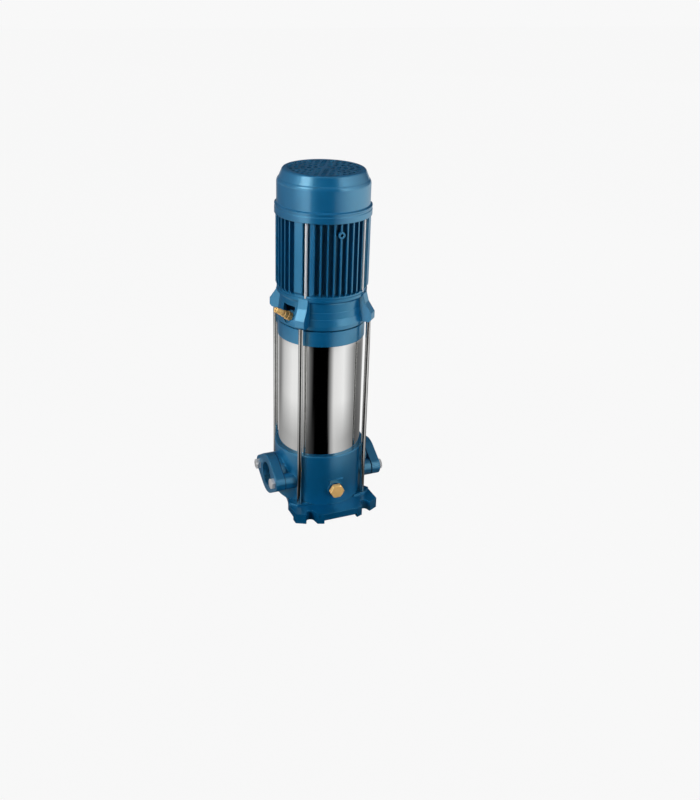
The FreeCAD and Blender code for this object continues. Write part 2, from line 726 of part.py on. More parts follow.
def vent_circle(body, along, radius):
    """A sketch with one circle, square to the vent's axis at a point of it."""
    sketch = new_sketch(body, "XY_Plane")
    sketch.AttachmentOffset = FreeCAD.Placement(
        vent_point(along), FreeCAD.Rotation(FreeCAD.Vector(0, 0, 1), vent_direction()))
    sketch.setExpression("AttachmentOffset.Base.z", None)
    add_circle(sketch, "0", "0", radius)
    return sketch


def discharge_head():
    body = new_body("discharge_head")
    groove_floor = "sleeve_radius - sleeve_wall - 2 * ring_section - seat_clearance"
    revolve(body, [
        ("head_bore_radius", "spigot_bottom"), ("spigot_radius", "spigot_bottom"),
        ("spigot_radius", "spigot_bottom + 4"), (groove_floor, "spigot_bottom + 4"),
        (groove_floor, "spigot_bottom + 8"), ("spigot_radius", "spigot_bottom + 8"),
        ("spigot_radius", "band_bottom"), ("band_radius", "band_bottom"),
        ("band_radius", "band_top - 1"), ("band_radius - 1", "band_top"),
        ("tower_radius + 6", "band_top"), ("via", "tower_radius + 2.2", "band_top + 1.8"),
        ("tower_radius", "band_top + 6"), ("tower_radius - 2", "tower_top"),
        ("seal_shaft_radius + 2", "tower_top"), ("seal_shaft_radius + 2", "tower_top - 8"),
        ("seal_bore_radius", "tower_top - 8"), ("seal_bore_radius", "head_ceiling"),
        ("head_bore_radius", "head_ceiling")])
    for radius, start, length, cut in (
            ("vent_boss_radius", -44, "44", False),
            ("vent_thread_radius + seat_clearance", -12, "13", True),
            ("vent_screw_radius", -49, "38", True)):
        sketch = vent_circle(body, start, radius)
        if cut:
            pocket(body, sketch, length, back=True)
        else:
            pad(body, sketch, length)
    revolve(body, ring_points("0", "seal_bore_radius", "head_ceiling - 12", "tower_top - 8"), cut=True)
    return body


def vent_valve():
    """Brass valve body turned in rings, and the screw that closes its bleed hole."""
    body = new_body("vent_valve_body")
    bore = "vent_screw_radius + running_clearance"
    revolve(body, [
        (bore, "-10"), ("vent_thread_radius", "-10"), ("vent_thread_radius", "0"), ("7", "0"), ("7", "1.5"),
        ("vent_across / 2 - 0.3", "1.5"), ("vent_across / 2 - 0.3", "8"), ("4.6", "8"), ("4.6", "10"),
        ("5.8", "10.4"), ("5.8", "15.6"), ("4.2", "16"), ("4.2", "18"), ("5", "18.4"), ("5", "23.6"),
        ("4.6", "24"), (bore, "24")])
    hexagon = new_sketch(body, "XY_Plane", "1.5")
    add_hexagon(hexagon, "0", "0", "vent_across")
    add_circle(hexagon, "0", "0", bore)
    pad(body, hexagon, "6.5")
    axis = FreeCAD.Placement(vent_point(0), FreeCAD.Rotation(FreeCAD.Vector(0, 0, 1), vent_direction()))
    body.Placement = axis

    screw = new_body("vent_screw")
    revolve(screw, [
        ("0", "-8"), ("vent_screw_radius", "-6"), ("vent_screw_radius", "24.3"), ("4.4", "24.3"),
        ("4.4", "27.4"), ("3.4", "28"), ("3.4", "29"), ("4.4", "29.6"), ("4.4", "33"),
        ("3.6", "34"), ("0", "34")])
    slot = new_sketch(screw, "XY_Plane", "34")
    add_outline(slot, [("-5", "-0.6"), ("5", "-0.6"), ("5", "0.6"), ("-5", "0.6")])
    pocket(screw, slot, "1.6")
    screw.Placement = axis
    return body


def tie_rods():
    rods = []
    for side, end in FOUR_CORNERS:
        rod = cylinder("tie_rod", "rod_radius", "rod_top - rod_foot")
        place(rod, signed(side, "rod_offset"), signed(end, "rod_offset"), "rod_foot", (0, 0, 1))
        rods.append(rod)
    return group("tie_rods", rods)


def lantern():
    body = new_body("lantern")
    inside = "waist_radius - lantern_wall"
    revolve(body, [
        ("inside_foot", "band_top"), ("skirt_radius - 4.5", "band_top"),
        ("skirt_radius - 4.5", "skirt_bottom"), ("skirt_radius", "skirt_bottom"),
        ("skirt_radius", "skirt_bottom + 6"), ("waist_radius + 2.2", "skirt_bottom + 17"),
        ("waist_radius + 1.6", "skirt_bottom + 17.6"), ("waist_radius + 0.9", "skirt_bottom + 28"),
        ("waist_radius + 0.3", "skirt_bottom + 28.6"), ("waist_radius", "lantern_top - 10"),
        ("via", "waist_radius + 1.4", "lantern_top - 7"), ("collar_radius", "lantern_top - 5"),
        ("collar_radius", "lantern_top"), ("lower_bearing_radius + seat_clearance", "lantern_top"),
        ("lower_bearing_radius + seat_clearance", "lower_bearing"),
        ("lower_bearing_radius - 6", "lower_bearing"), ("lower_bearing_radius - 6", "lower_bearing - 4"),
        ("lower_bearing_radius + 5", "lower_bearing - 4"), ("lower_bearing_radius + 5", "lantern_top - 8"),
        (inside, "lantern_top - 8"), (inside, "skirt_bottom + 10"), ("inside_foot", "skirt_bottom + 6")])
    ear = new_sketch(body, "XZ_Plane", turn=45)
    add_outline(ear, [
        ("waist_radius - 3", "ear_bottom"), ("ear_radius - 4", "ear_bottom"),
        ("ear_radius", "ear_bottom + 4"), ("ear_radius", "ear_bottom + 15.5"),
        ("ear_radius - 11", "lantern_top - 16"), ("ear_radius - 15", "lantern_top - 1"),
        ("waist_radius - 3", "lantern_top - 1")])
    pattern(body, [pad(body, ear, "ear_width", middle=True)], "4")

    rods = four_circles(body, "ear_bottom", "rod_offset", "rod_offset", "rod_radius + seat_clearance")
    pocket(body, rods, "rod_grip", back=True)
    bolts = four_circles(body, "lantern_top", "motor_bolt_x", "motor_bolt_y",
                         "motor_bolt_radius + seat_clearance")
    pocket(body, bolts, "motor_bolt_grip + 1")
    for turn in (value("window_angle"), value("window_angle") - 180):
        window = new_sketch(body, "YZ_Plane", "skirt_radius + 5", turn=turn)
        add_outline(window, [
            ("-window_width / 2", "sill"), ("window_width / 2", "sill"),
            ("window_width / 2", "sill + window_height"), ("-window_width / 2", "sill + window_height")])
        pocket(body, window, "25")
    pocket(body, vent_circle(body, -25, "vent_boss_radius + 0.6"), "60", back=True)
    return body


def suction_plate():
    """Plate that carries the first impeller's neck over the suction well."""
    return turned_piece("inlet_plate", [
        ("eye_radius + neck_wall + running_clearance", "first_stage - 2"),
        ("well_radius + 1", "first_stage - 2"), ("well_radius + 1", "well_top"),
        ("well_radius + well_wall + 3", "well_top"), ("stage_radius", "first_stage - 3"),
        ("stage_radius", "first_stage"), ("eye_radius + neck_wall + running_clearance", "first_stage")])


def stage_casing(index):
    """Skirt, top plate, and below it the guide vanes that bring the water back to the eye."""
    body = new_body(f"stage_casing_{index + 1}")
    bore = "eye_radius + neck_wall + running_clearance"
    partition = "impeller_height + 3"
    revolve(body, [
        ("stage_radius - stage_wall", "0"), ("stage_radius", "0"), ("stage_radius", "stage_pitch"),
        (bore, "stage_pitch"), (bore, "stage_pitch - stage_plate"),
        ("stage_radius - stage_wall", "stage_pitch - stage_plate")])
    vane = new_sketch(body, "XY_Plane", partition)
    add_outline(vane, curved_blade("eye_radius + 5", "stage_radius - stage_wall + 0.5",
                                   "vane_sweep", "1.6"))
    vanes = pad(body, vane, f"stage_pitch - stage_plate - ({partition}) + 0.2")
    pattern(body, [vanes], "vane_count")
    revolve(body, ring_points("hub_radius + running_clearance", "impeller_radius + 2",
                              partition, f"{partition} + stage_plate"))
    body.setExpression("Placement.Base.z", bound(f"first_stage + {index} * stage_pitch"))
    return body


def curved_blade(inner, outer, sweep, thickness):
    """Outline of one blade, swept back through an angle between two radii."""
    middle = f"(({inner}) + ({outer})) / 2"

    def spot(radius, angle, side):
        return polar(radius, f"({angle}) + {side} * 28.65 * ({thickness}) / ({radius})")
    bend = f"0.62 * ({sweep})"
    return [
        spot(inner, "0", -1), ("via",) + spot(middle, bend, -1), spot(outer, sweep, -1),
        spot(outer, sweep, 1), ("via",) + spot(middle, bend, 1), spot(inner, "0", 1)]


def impeller(index):
    """Closed impeller: hub and back shroud, swept blades, front shroud with its neck."""
    body = new_body(f"impeller_{index + 1}")
    back = "impeller_height - shroud"
    revolve(body, [
        ("pump_shaft_radius + seat_clearance", "2"), ("hub_radius", "2"),
        ("hub_radius + 3", f"{back} - 2"), ("hub_radius + 6", back), ("impeller_radius", back),
        ("impeller_radius", "impeller_height"), ("pump_shaft_radius + seat_clearance", "impeller_height")])
    blade = new_sketch(body, "XY_Plane", "8")
    add_outline(blade, curved_blade("eye_radius + 1", "impeller_radius - 0.4",
                                    "-blade_sweep", "blade_thickness"))
    blades = pad(body, blade, f"{back} - 8 + 0.2")
    pattern(body, [blades], "blade_count")
    revolve(body, [
        ("eye_radius", "-2"), ("eye_radius + neck_wall", "-2"), ("eye_radius + neck_wall", "3"),
        ("impeller_radius", "8"), ("impeller_radius", "8 + shroud"),
        ("eye_radius + 1", "3 + shroud"), ("eye_radius", "3")])
    keyway = new_sketch(body, "XY_Plane", "impeller_height")
    half, reach = "(key_width / 2 + seat_clearance)", "pump_shaft_radius + key_stand + seat_clearance"
    add_outline(keyway, [
        ("pump_shaft_radius - 1", f"-{half}"), (reach, f"-{half}"), (reach, half),
        ("pump_shaft_radius - 1", half)])
    pocket(body, keyway, "impeller_height - 2")
    body.setExpression("Placement.Base.z", bound(f"first_stage + {index} * stage_pitch"))
    return body


def stack_ring():
    """Castellated ring that clamps the stages and lets the water out to the sleeve."""
    body = turned_piece("stack_clamp_ring", ring_points(
        "stage_radius - 5", "stage_radius", "stack_top", "head_ceiling"))
    slot = new_sketch(body, "YZ_Plane", "stage_radius + 2")
    add_outline(slot, [("-8", "stack_top + 3"), ("8", "stack_top + 3"),
                       ("8", "spigot_bottom - 1"), ("-8", "spigot_bottom - 1")])
    pattern(body, [pocket(body, slot, "12")], "6")
    return body


def shaft():
    body = turned_piece("shaft", [
        ("0", "shaft_foot"), ("pump_shaft_radius - 1", "shaft_foot"),
        ("pump_shaft_radius", "shaft_foot + 1"), ("pump_shaft_radius", "seal_foot - 8"),
        ("seal_shaft_radius", "seal_foot - 8"), ("seal_shaft_radius", "tower_top + 4"),
        ("seal_shaft_radius + 2", "tower_top + 4"), ("seal_shaft_radius + 2", "lower_bearing - 2"),
        ("lower_bearing_bore", "lower_bearing - 2"),
        ("lower_bearing_bore", "lower_bearing + lower_bearing_width"),
        ("core_shaft_radius", "lower_bearing + lower_bearing_width"),
        ("core_shaft_radius", "upper_bearing - 2"), ("upper_bearing_bore", "upper_bearing - 2"),
        ("upper_bearing_bore", "upper_bearing + upper_bearing_width"),
        ("fan_shaft_radius", "upper_bearing + upper_bearing_width"), ("fan_shaft_radius", "fan_top - 1"),
        ("fan_shaft_radius - 1", "fan_top"), ("0", "fan_top")])
    keyways = new_sketch(body, "YZ_Plane", "pump_shaft_radius + 1")
    for index in range(int(value("stage_count"))):
        low = key_foot(index)
        add_outline(keyways, [
            ("-key_width / 2", low), ("key_width / 2", low),
            ("key_width / 2", f"{low} + key_length"), ("-key_width / 2", f"{low} + key_length")])
    pocket(body, keyways, "key_depth + 1")
    return body


def key_foot(index):
    """Lower end of the key that holds one impeller."""
    return f"first_stage + {index} * stage_pitch + 2"


def rotating_small_parts():
    keys = []
    for index in range(int(value("stage_count"))):
        key = doc.addObject("Part::Box", "key")
        key.setExpression("Length", bound("key_depth + key_stand"))
        key.setExpression("Width", bound("key_width"))
        key.setExpression("Height", bound("key_length"))
        keys.append(place(key, "pump_shaft_radius - key_depth", "-key_width / 2", key_foot(index), (0, 0, 1)))
    group("impeller_keys", keys)

    spacers = []
    for index in range(int(value("stage_count"))):
        tube = doc.addObject("Part::Cut", "spacer")
        low = f"first_stage + {index} * stage_pitch + impeller_height"
        last = index + 1 == value("stage_count")
        length = "seal_foot - 8 - stack_top + spacer_length" if last else "spacer_length + 2"
        tube.Base = cylinder("spacer_outside", "hub_radius", length, low)
        tube.Tool = cylinder("spacer_bore", "pump_shaft_radius + seat_clearance", length, low)
        spacers.append(tube)
    group("impeller_spacers", spacers)

    nut = doc.addObject("Part::Cut", "shaft_nut")
    prism = doc.addObject("Part::Prism", "nut_hexagon")
    prism.Polygon = 6
    prism.setExpression("Circumradius", bound("nut_corner_radius"))
    prism.setExpression("Height", bound("nut_height"))
    prism.setExpression("Placement.Base.z", bound("first_stage - nut_height"))
    nut.Base = prism
    nut.Tool = cylinder("nut_bore", "pump_shaft_radius + seat_clearance", "30", "shaft_foot")
    node(nut, "impeller_nut")
    turned_piece("nut_washer", ring_points(
        "pump_shaft_radius + seat_clearance", "nut_corner_radius", "first_stage", "first_stage + 2"))

    turned_piece("seal_rotating_part", [
        ("seal_shaft_radius + seat_clearance", "seal_foot"), ("14", "seal_foot"), ("14", "seal_foot + 3"),
        ("11.5", "seal_foot + 3.5"), ("11.5", "seal_seat_bottom - 7"), ("15.5", "seal_seat_bottom - 6.5"),
        ("15.5", "seal_seat_bottom - 2"), ("13.5", "seal_seat_bottom - 2"),
        ("13.5", "seal_seat_bottom - 0.05"), ("10.5", "seal_seat_bottom - 0.05"),
        ("10.5", "seal_seat_bottom - 2"), ("seal_shaft_radius + seat_clearance", "seal_seat_bottom - 2")])
    turned_piece("slinger_ring", [
        ("seal_shaft_radius + 2 + seat_clearance", "tower_top + 4.5"), ("18", "tower_top + 3"),
        ("18", "tower_top + 4.2"), ("14", "tower_top + 8.5"),
        ("seal_shaft_radius + 2 + seat_clearance", "tower_top + 8.5")])


def seal_seat():
    return turned_piece("seal_seat", [
        ("seal_shaft_radius + 1", "seal_seat_bottom"), ("15", "seal_seat_bottom"),
        ("15", "seal_seat_bottom + 2"), ("seal_bore_radius - seat_clearance", "seal_seat_bottom + 2"),
        ("seal_bore_radius - seat_clearance", "tower_top - 8"), ("seal_shaft_radius + 1", "tower_top - 8")])


def bearing(name, low):
    """Deep-groove ball bearing: outer race, inner race, and balls in their cage."""
    outer, bore = f"{name}_bearing_radius", f"{name}_bearing_bore"
    width, ball = f"{name}_bearing_width", f"{name}_ball_radius"
    centre = f"(({outer}) + ({bore})) / 2"
    middle = f"{low} + {width} / 2"
    half_gap = f"{ball} * 0.42"
    groove = f"({ball} + running_clearance)"
    lip = f"sqrt({groove} ^ 2 - ({half_gap}) ^ 2)"
    for label, wall, side in (("outer", outer, "+"), ("inner", bore, "-")):
        edge = f"{centre} {side} {half_gap}"
        turned_piece(f"{name}_bearing_{label}_race", [
            (wall, low), (wall, f"{low} + {width}"), (edge, f"{low} + {width}"),
            (edge, f"{middle} + {lip}"), ("via", f"{centre} {side} {groove}", middle),
            (edge, f"{middle} - {lip}"), (edge, low)])
    cage = new_body(f"{name}_bearing_cage")
    revolve(cage, ring_points(f"{centre} - {half_gap} + 0.4", f"{centre} + {half_gap} - 0.4",
                              f"{middle} - 2.6", f"{middle} + 2.6"))
    window = new_sketch(cage, "YZ_Plane", f"{centre} + {ball}")
    add_circle(window, "0", middle, f"{ball} + 0.1")
    pattern(cage, [pocket(cage, window, f"2 * {ball}")], f"{name}_ball_count")
    balls = []
    count = int(value(f"{name}_ball_count"))
    for index in range(count):
        turn = 360 * index / count
        sphere = doc.addObject("Part::Sphere", f"{name}_ball")
        sphere.setExpression("Radius", bound(ball))
        place(sphere, *polar(centre, turn), middle, (0, 0, 1))
        balls.append(sphere)
    group(f"{name}_bearing_balls", balls)


def motor_frame():
    """Ribbed frame: shell, fins, a pair of ribs with an open bolt groove at each corner, box seat."""
    body = new_body("motor_frame")
    shell = "frame_bore_radius + frame_wall"
    revolve(body, [
        ("frame_bore_radius", "lantern_top"), ("collar_radius - 1", "lantern_top"),
        ("collar_radius - 1", "lantern_top + 3"), (shell, "lantern_top + 7"), (shell, "frame_top"),
        ("frame_bore_radius", "frame_top")])
    ribs = four_outlines(body, "lantern_top + 2", [
        polar("frame_bore_radius + 1", "rib_start"), polar("pad_radius", "rib_start"),
        polar("pad_radius", "groove_start"), polar("frame_bore_radius + 1", "groove_start")])
    pad(body, ribs, "frame_length - 2")
    narrow = four_outlines(body, "lantern_top + 2", [
        polar("frame_bore_radius + 1", "groove_end"), polar("pad_radius - rib_slant", "groove_end"),
        polar("pad_radius", "rib_end"), polar("frame_bore_radius + 1", "rib_end")])
    pad(body, narrow, "frame_length - 2")
    seat = new_sketch(body, "XZ_Plane", "-(box_seat)")
    add_outline(seat, [
        ("-(box_half_width - 4)", "box_bottom + 4"), ("box_half_width - 4", "box_bottom + 4"),
        ("box_half_width - 4", "box_top - 4"), ("-(box_half_width - 4)", "box_top - 4")])
    pad(body, seat, "box_seat - frame_bore_radius - frame_wall + 16")
    boss = new_sketch(body, "XZ_Plane", "frame_bore_radius + 1")
    add_circle(boss, "0", "frame_top - 22", "5.5")
    pad(body, boss, "fin_radius - frame_bore_radius")
    fin = new_sketch(body, "XZ_Plane")
    add_outline(fin, [
        ("frame_bore_radius + 1", "lantern_top + 2"), ("collar_radius - 1.5", "lantern_top + 2"),
        ("fin_radius", "lantern_top + 8"), ("fin_radius", "frame_top"),
        ("frame_bore_radius + 1", "frame_top")])
    pattern(body, [pad(body, fin, "fin_thickness", middle=True)], "fin_count")
    revolve(body, [
        ("collar_radius - 1", "lantern_top - 1"), ("pad_radius + 3", "lantern_top - 1"),
        ("pad_radius + 3", "lantern_top + 9"), ("pad_radius", "lantern_top + 9"),
        ("collar_radius - 1", "lantern_top + 4.5")], cut=True)
    revolve(body, ring_points("0", "frame_bore_radius", "lantern_top - 1", "frame_top + 1"), cut=True)
    groove = four_outlines(body, "frame_top", [
        polar(f"{shell} + 0.5", "groove_start"), polar("pad_radius + 3", "groove_start"),
        polar("pad_radius + 3", "groove_end"), polar(f"{shell} + 0.5", "groove_end")])
    pocket(body, groove, "frame_length - 4")
    bolts = four_circles(body, "frame_top", "motor_bolt_x", "motor_bolt_y", "motor_bolt_radius + 0.3")
    pocket(body, bolts, "frame_length")
    hole = new_sketch(body, "XZ_Plane", "fin_radius + 3")
    add_circle(hole, "0", "frame_top - 22", "2.5")
    pocket(body, hole, "12")
    return body


def motor_bolts():
    bolts = []
    for side, end in FOUR_CORNERS:
        bolt = hexagon_screw("motor_bolt", "motor_bolt_across", "motor_bolt_head", "motor_bolt_radius",
                             "frame_length + shield_thickness + motor_bolt_grip")
        bolts.append(place(bolt, signed(side, "motor_bolt_x"), signed(end, "motor_bolt_y"),
                           "shield_top", (0, 0, 1)))
    return group("motor_bolts", bolts)


def motor_core():
    """Laminated stator with its slots, the windings and the squirrel-cage rotor."""
    stator = turned_piece("stator_core", ring_points(
        "stator_bore", "frame_bore_radius - seat_clearance", "core_bottom", "core_top"))
    slot = new_sketch(stator, "XY_Plane", "core_top + 1")
    add_outline(slot, [("stator_bore - 1", "-1"), ("stator_bore + 16", "-2.4"),
                       ("stator_bore + 16", "2.4"), ("stator_bore - 1", "1")])
    pattern(stator, [pocket(stator, slot, "core_length + 2")], "24")
    overhangs = []
    for low in ("core_bottom - winding_overhang", "core_top"):
        ring = doc.addObject("Part::Cut", "winding")
        ring.Base = cylinder("winding_outside", "frame_bore_radius - 5", "winding_overhang", low)
        ring.Tool = cylinder("winding_inside", "stator_bore + 5", "winding_overhang", low)
        overhangs.append(ring)
    group("stator_windings", overhangs)
    turned_piece("rotor_core", [
        ("core_shaft_radius + seat_clearance", "core_bottom"), ("rotor_radius - 7", "core_bottom"),
        ("rotor_radius - 7", "core_bottom - 5"), ("rotor_radius - 1", "core_bottom - 5"),
        ("rotor_radius - 1", "core_bottom"), ("rotor_radius", "core_bottom"), ("rotor_radius", "core_top"),
        ("rotor_radius - 1", "core_top"), ("rotor_radius - 1", "core_top + 5"),
        ("rotor_radius - 7", "core_top + 5"), ("rotor_radius - 7", "core_top"),
        ("core_shaft_radius + seat_clearance", "core_top")])


def end_shield():
    body = turned_piece("upper_end_shield", [
        ("upper_bearing_radius - 5", "shield_hub_bottom"), ("upper_bearing_radius + 6", "shield_hub_bottom"),
        ("upper_bearing_radius + 6", "frame_top - 3"), ("frame_bore_radius - 6", "frame_top - 3"),
        ("frame_bore_radius - 6", "frame_top - 8"), ("frame_bore_radius - seat_clearance", "frame_top - 8"),
        ("frame_bore_radius - seat_clearance", "frame_top"), ("pad_radius", "frame_top"),
        ("pad_radius", "shield_top"), ("upper_bearing_radius + 6", "shield_top"),
        ("upper_bearing_radius + 6", "upper_bearing + upper_bearing_width"),
        ("upper_bearing_radius + seat_clearance", "upper_bearing + upper_bearing_width"),
        ("upper_bearing_radius + seat_clearance", "upper_spring"),
        ("upper_bearing_radius - 5", "upper_spring")])
    holes = four_circles(body, "shield_top", "motor_bolt_x", "motor_bolt_y", "motor_bolt_radius + 0.3")
    pocket(body, holes, "shield_thickness + 1")
    turned_piece("wave_spring", ring_points(
        "upper_bearing_radius - 4.5", "upper_bearing_radius - 0.3", "upper_spring", "upper_bearing"))
    return body


def cooling_fan():
    body = turned_piece("cooling_fan", [
        ("fan_shaft_radius + seat_clearance", "fan_bottom"), ("15", "fan_bottom"), ("34", "fan_bottom + 1"),
        ("34", "fan_bottom + 3"), ("16", "fan_bottom + 4"), ("14", "fan_top - 2"),
        ("fan_shaft_radius + seat_clearance", "fan_top - 2")])
    blade = new_sketch(body, "XZ_Plane")
    add_outline(blade, [
        ("13", "fan_bottom + 1"), ("34", "fan_bottom + 1"), ("fan_radius", "fan_bottom + 5"),
        ("fan_radius", "fan_top"), ("20", "fan_top"), ("13", "fan_top - 4")])
    pattern(body, [pad(body, blade, "2", middle=True)], "fan_blades")
    turned_piece("fan_circlip", ring_points(
        "fan_shaft_radius + seat_clearance", "12", "fan_top - 2", "fan_top - 1"))
    return body


def fan_cover():
    """Pressed cowl: stepped rim, sloping shoulder, and rings of slots in its flat top."""
    body = new_body("fan_cover")
    revolve(body, [
        ("rim_radius - cover_sheet", "rim_bottom"), ("rim_radius - 0.6", "rim_bottom"),
        ("rim_radius", "rim_bottom + 0.8"), ("rim_radius", "rim_top - 7"),
        ("rim_radius - 0.8", "rim_top - 6"), ("rim_radius - 0.8", "rim_top - 3.5"),
        ("rim_radius - 0.1", "rim_top - 2.8"), ("rim_radius - 0.1", "rim_top - 1"),
        ("cover_radius", "rim_top + 1"), ("cover_radius", "shoulder"),
        ("via", "cover_radius - 0.8", "shoulder + 3.4"), ("cover_radius - 3", "shoulder + 6.5"),
        ("cover_crown_radius + 2", "cover_top - 3"),
        ("via", "cover_crown_radius + 0.4", "cover_top - 0.9"), ("cover_crown_radius - 2", "cover_top"),
        ("0", "cover_top"), ("0", "cover_top - cover_sheet"),
        ("cover_crown_radius - 2.5", "cover_top - cover_sheet"),
        ("cover_crown_radius + 0.6", "cover_top - 3.4"),
        ("cover_radius - 4.4", "shoulder + 6"), ("cover_radius - cover_sheet", "shoulder - 0.5"),
        ("cover_radius - cover_sheet", "rim_top + 0.4"),
        ("rim_radius - cover_sheet - 0.8", "rim_top - 1.8"),
        ("rim_radius - cover_sheet - 0.8", "rim_top - 6.2"),
        ("rim_radius - cover_sheet", "rim_top - 7.4")])
    slots = new_sketch(body, "XY_Plane", "cover_top + 1")
    rings = int(value("grille_rings"))
    for ring in range(rings):
        far = f"(grille_radius - {ring} * grille_pitch)"
        near = f"(grille_radius - {ring} * grille_pitch - grille_slot)"
        count = rings - ring
        half = 0.33 * 60 / count
        for index in range(count):
            turn = 60 * (index + 0.5) / count
            add_outline(slots, [
                polar(radius, turn + bend)
                for radius, bend in ((near, -half), (far, -half), (far, half), (near, half))])
    pattern(body, [pocket(body, slots, "cover_sheet + 2")], "6")
    return body


def rounded_box(body, low_y, depth, half_width, low_z, high_z, radius):
    """Pad a round-cornered rectangle along Y, its back at low_y."""
    sketch = new_sketch(body, "XZ_Plane", f"-({low_y})")
    add_outline(sketch, rounded(half_width, low_z, high_z, radius))
    return pad(body, sketch, depth, back=True)


def rounded(half_width, low_z, high_z, radius):
    """Round-cornered rectangle, symmetric across."""
    bow = f"({radius}) * 0.292893"
    points = []
    for side, edge, sense in ((1, low_z, 1), (1, high_z, -1), (-1, high_z, -1), (-1, low_z, 1)):
        flat = (signed(side, f"{half_width} - {radius}"), edge)
        upright = (signed(side, half_width), f"{edge} + {sense} * {radius}")
        bend = ("via", signed(side, f"{half_width} - {bow}"), f"{edge} + {sense} * {bow}")
        points += [flat, bend, upright] if side * sense > 0 else [upright, bend, flat]
    return points


def terminal_box():
    body = new_body("terminal_box")
    rounded_box(body, "box_seat", "box_depth", "box_half_width", "box_bottom", "box_top", "6")
    inside = new_sketch(body, "XZ_Plane", "-(box_mouth)")
    add_outline(inside, rounded("(box_half_width - box_wall)", "(box_bottom + box_wall)",
                                "(box_top - box_wall)", "4"))
    pocket(body, inside, "box_depth - box_wall", back=True)
    inlet = new_sketch(body, "YZ_Plane", "box_half_width + 1")
    add_circle(inlet, "gland_place", "gland_height", "gland_thread + seat_clearance")
    pocket(body, inlet, "box_wall + 1.6")

    lid = new_body("terminal_box_lid")
    rounded_box(lid, "box_mouth", "lid_depth", "box_half_width", "box_bottom", "box_top", "6")
    hollow = new_sketch(lid, "XZ_Plane", "-(box_mouth)")
    add_outline(hollow, rounded("(box_half_width - box_wall)", "(box_bottom + box_wall)",
                                "(box_top - box_wall)", "4"))
    pocket(lid, hollow, "lid_depth - box_wall")

    screws = []
    for side, end in FOUR_CORNERS:
        screw = cylinder("lid_screw", "3", "2")
        place(screw, signed(side, "(box_half_width - 7)"),
              "lid_face", ("box_top - 7" if end > 0 else "box_bottom + 7"), (0, 1, 0))
        screws.append(screw)
    group("lid_screws", screws)

    block = doc.addObject("Part::Box", "terminal_block")
    block.setExpression("Length", bound("block_length"))
    block.setExpression("Width", bound("block_depth"))
    block.setExpression("Height", bound("block_height"))
    place(block, "-block_length / 2", "box_seat + box_wall", "(box_bottom + box_top) / 2 - 10", (0, 0, 1))
    node(block, "terminal_block")
    return body


def cable_gland():
    """Gland with its two hexagons, along +X from the side of the terminal box."""
    body = new_body("cable_gland")
    for low, length, across in (("0", "5", "2.4 * gland_radius"), ("7", "9", "2.2 * gland_radius")):
        hexagon = new_sketch(body, "XY_Plane", low)
        add_hexagon(hexagon, "0", "0", across)
        pad(body, hexagon, length)
        doc.recompute()
    revolve(body, ring_points("0", "gland_thread", "-box_wall - 0.5", "gland_length - 2"))
    revolve(body, ring_points("0", "gland_bore_radius", "-box_wall - 1.5", "gland_length + 1"), cut=True)
    return place(body, "box_half_width", "gland_place", "gland_height", (1, 0, 0))


def build():
    base_casting()
    for side, port in ((-1, "suction"), (1, "discharge")):
        counter_flange(port + "_flange", side)
        gasket(port + "_gasket", side)
    flange_bolts()
    drain_plug()
    outer_sleeve()
    sleeve_rings()
    discharge_head()
    vent_valve()
    tie_rods()
    lantern()
    suction_plate()
    for index in range(int(value("stage_count"))):
        stage_casing(index)
        impeller(index)
    stack_ring()
    shaft()
    rotating_small_parts()
    seal_seat()
    bearing("lower", "lower_bearing")
    bearing("upper", "upper_bearing")
    motor_frame()
    motor_bolts()
    motor_core()
    end_shield()
    cooling_fan()
    fan_cover()
    terminal_box()
    cable_gland()


def check():
    """Stop before writing if any object failed or any piece is not a sound solid."""
    failed = [item.Label for item in doc.Objects if {"Invalid", "Error"} & set(item.State)]
    for piece in NODES:
        if piece.Shape.isNull() or not piece.Shape.isValid() or not piece.Shape.Solids:
            failed.append(piece.Label)
    if failed:
        raise SystemExit("failed: " + ", ".join(failed))


build()
doc.recompute()
check()
os.makedirs("parts", exist_ok=True)
for piece in NODES:
    piece.Shape.exportStep(f"parts/{piece.Label}.step")
print(len(NODES), "nodes")
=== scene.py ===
import json
import math

import bmesh
import bpy
from mathutils import Matrix, Vector


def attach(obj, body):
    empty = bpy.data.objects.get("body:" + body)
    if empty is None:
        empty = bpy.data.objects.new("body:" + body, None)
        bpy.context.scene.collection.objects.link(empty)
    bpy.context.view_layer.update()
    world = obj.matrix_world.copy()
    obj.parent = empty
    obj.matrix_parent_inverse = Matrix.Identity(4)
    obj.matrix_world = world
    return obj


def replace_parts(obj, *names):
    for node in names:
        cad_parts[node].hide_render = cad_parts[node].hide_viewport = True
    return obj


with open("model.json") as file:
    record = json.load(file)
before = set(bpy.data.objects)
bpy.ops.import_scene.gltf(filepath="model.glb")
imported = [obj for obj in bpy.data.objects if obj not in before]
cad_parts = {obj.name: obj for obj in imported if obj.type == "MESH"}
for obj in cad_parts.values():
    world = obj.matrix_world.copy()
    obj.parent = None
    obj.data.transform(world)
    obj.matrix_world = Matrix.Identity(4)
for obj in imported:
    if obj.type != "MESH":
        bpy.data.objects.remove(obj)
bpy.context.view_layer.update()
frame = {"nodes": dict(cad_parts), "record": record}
nodes = frame["nodes"]


# Materials

NOISE_ROUGHNESS = 0.55
NOISE_LOW, NOISE_HIGH = 0.3, 0.7
BEVEL_SAMPLES, CREVICE_SAMPLES = 6, 12
EDGE_START, EDGE_FULL = 0.98, 0.75


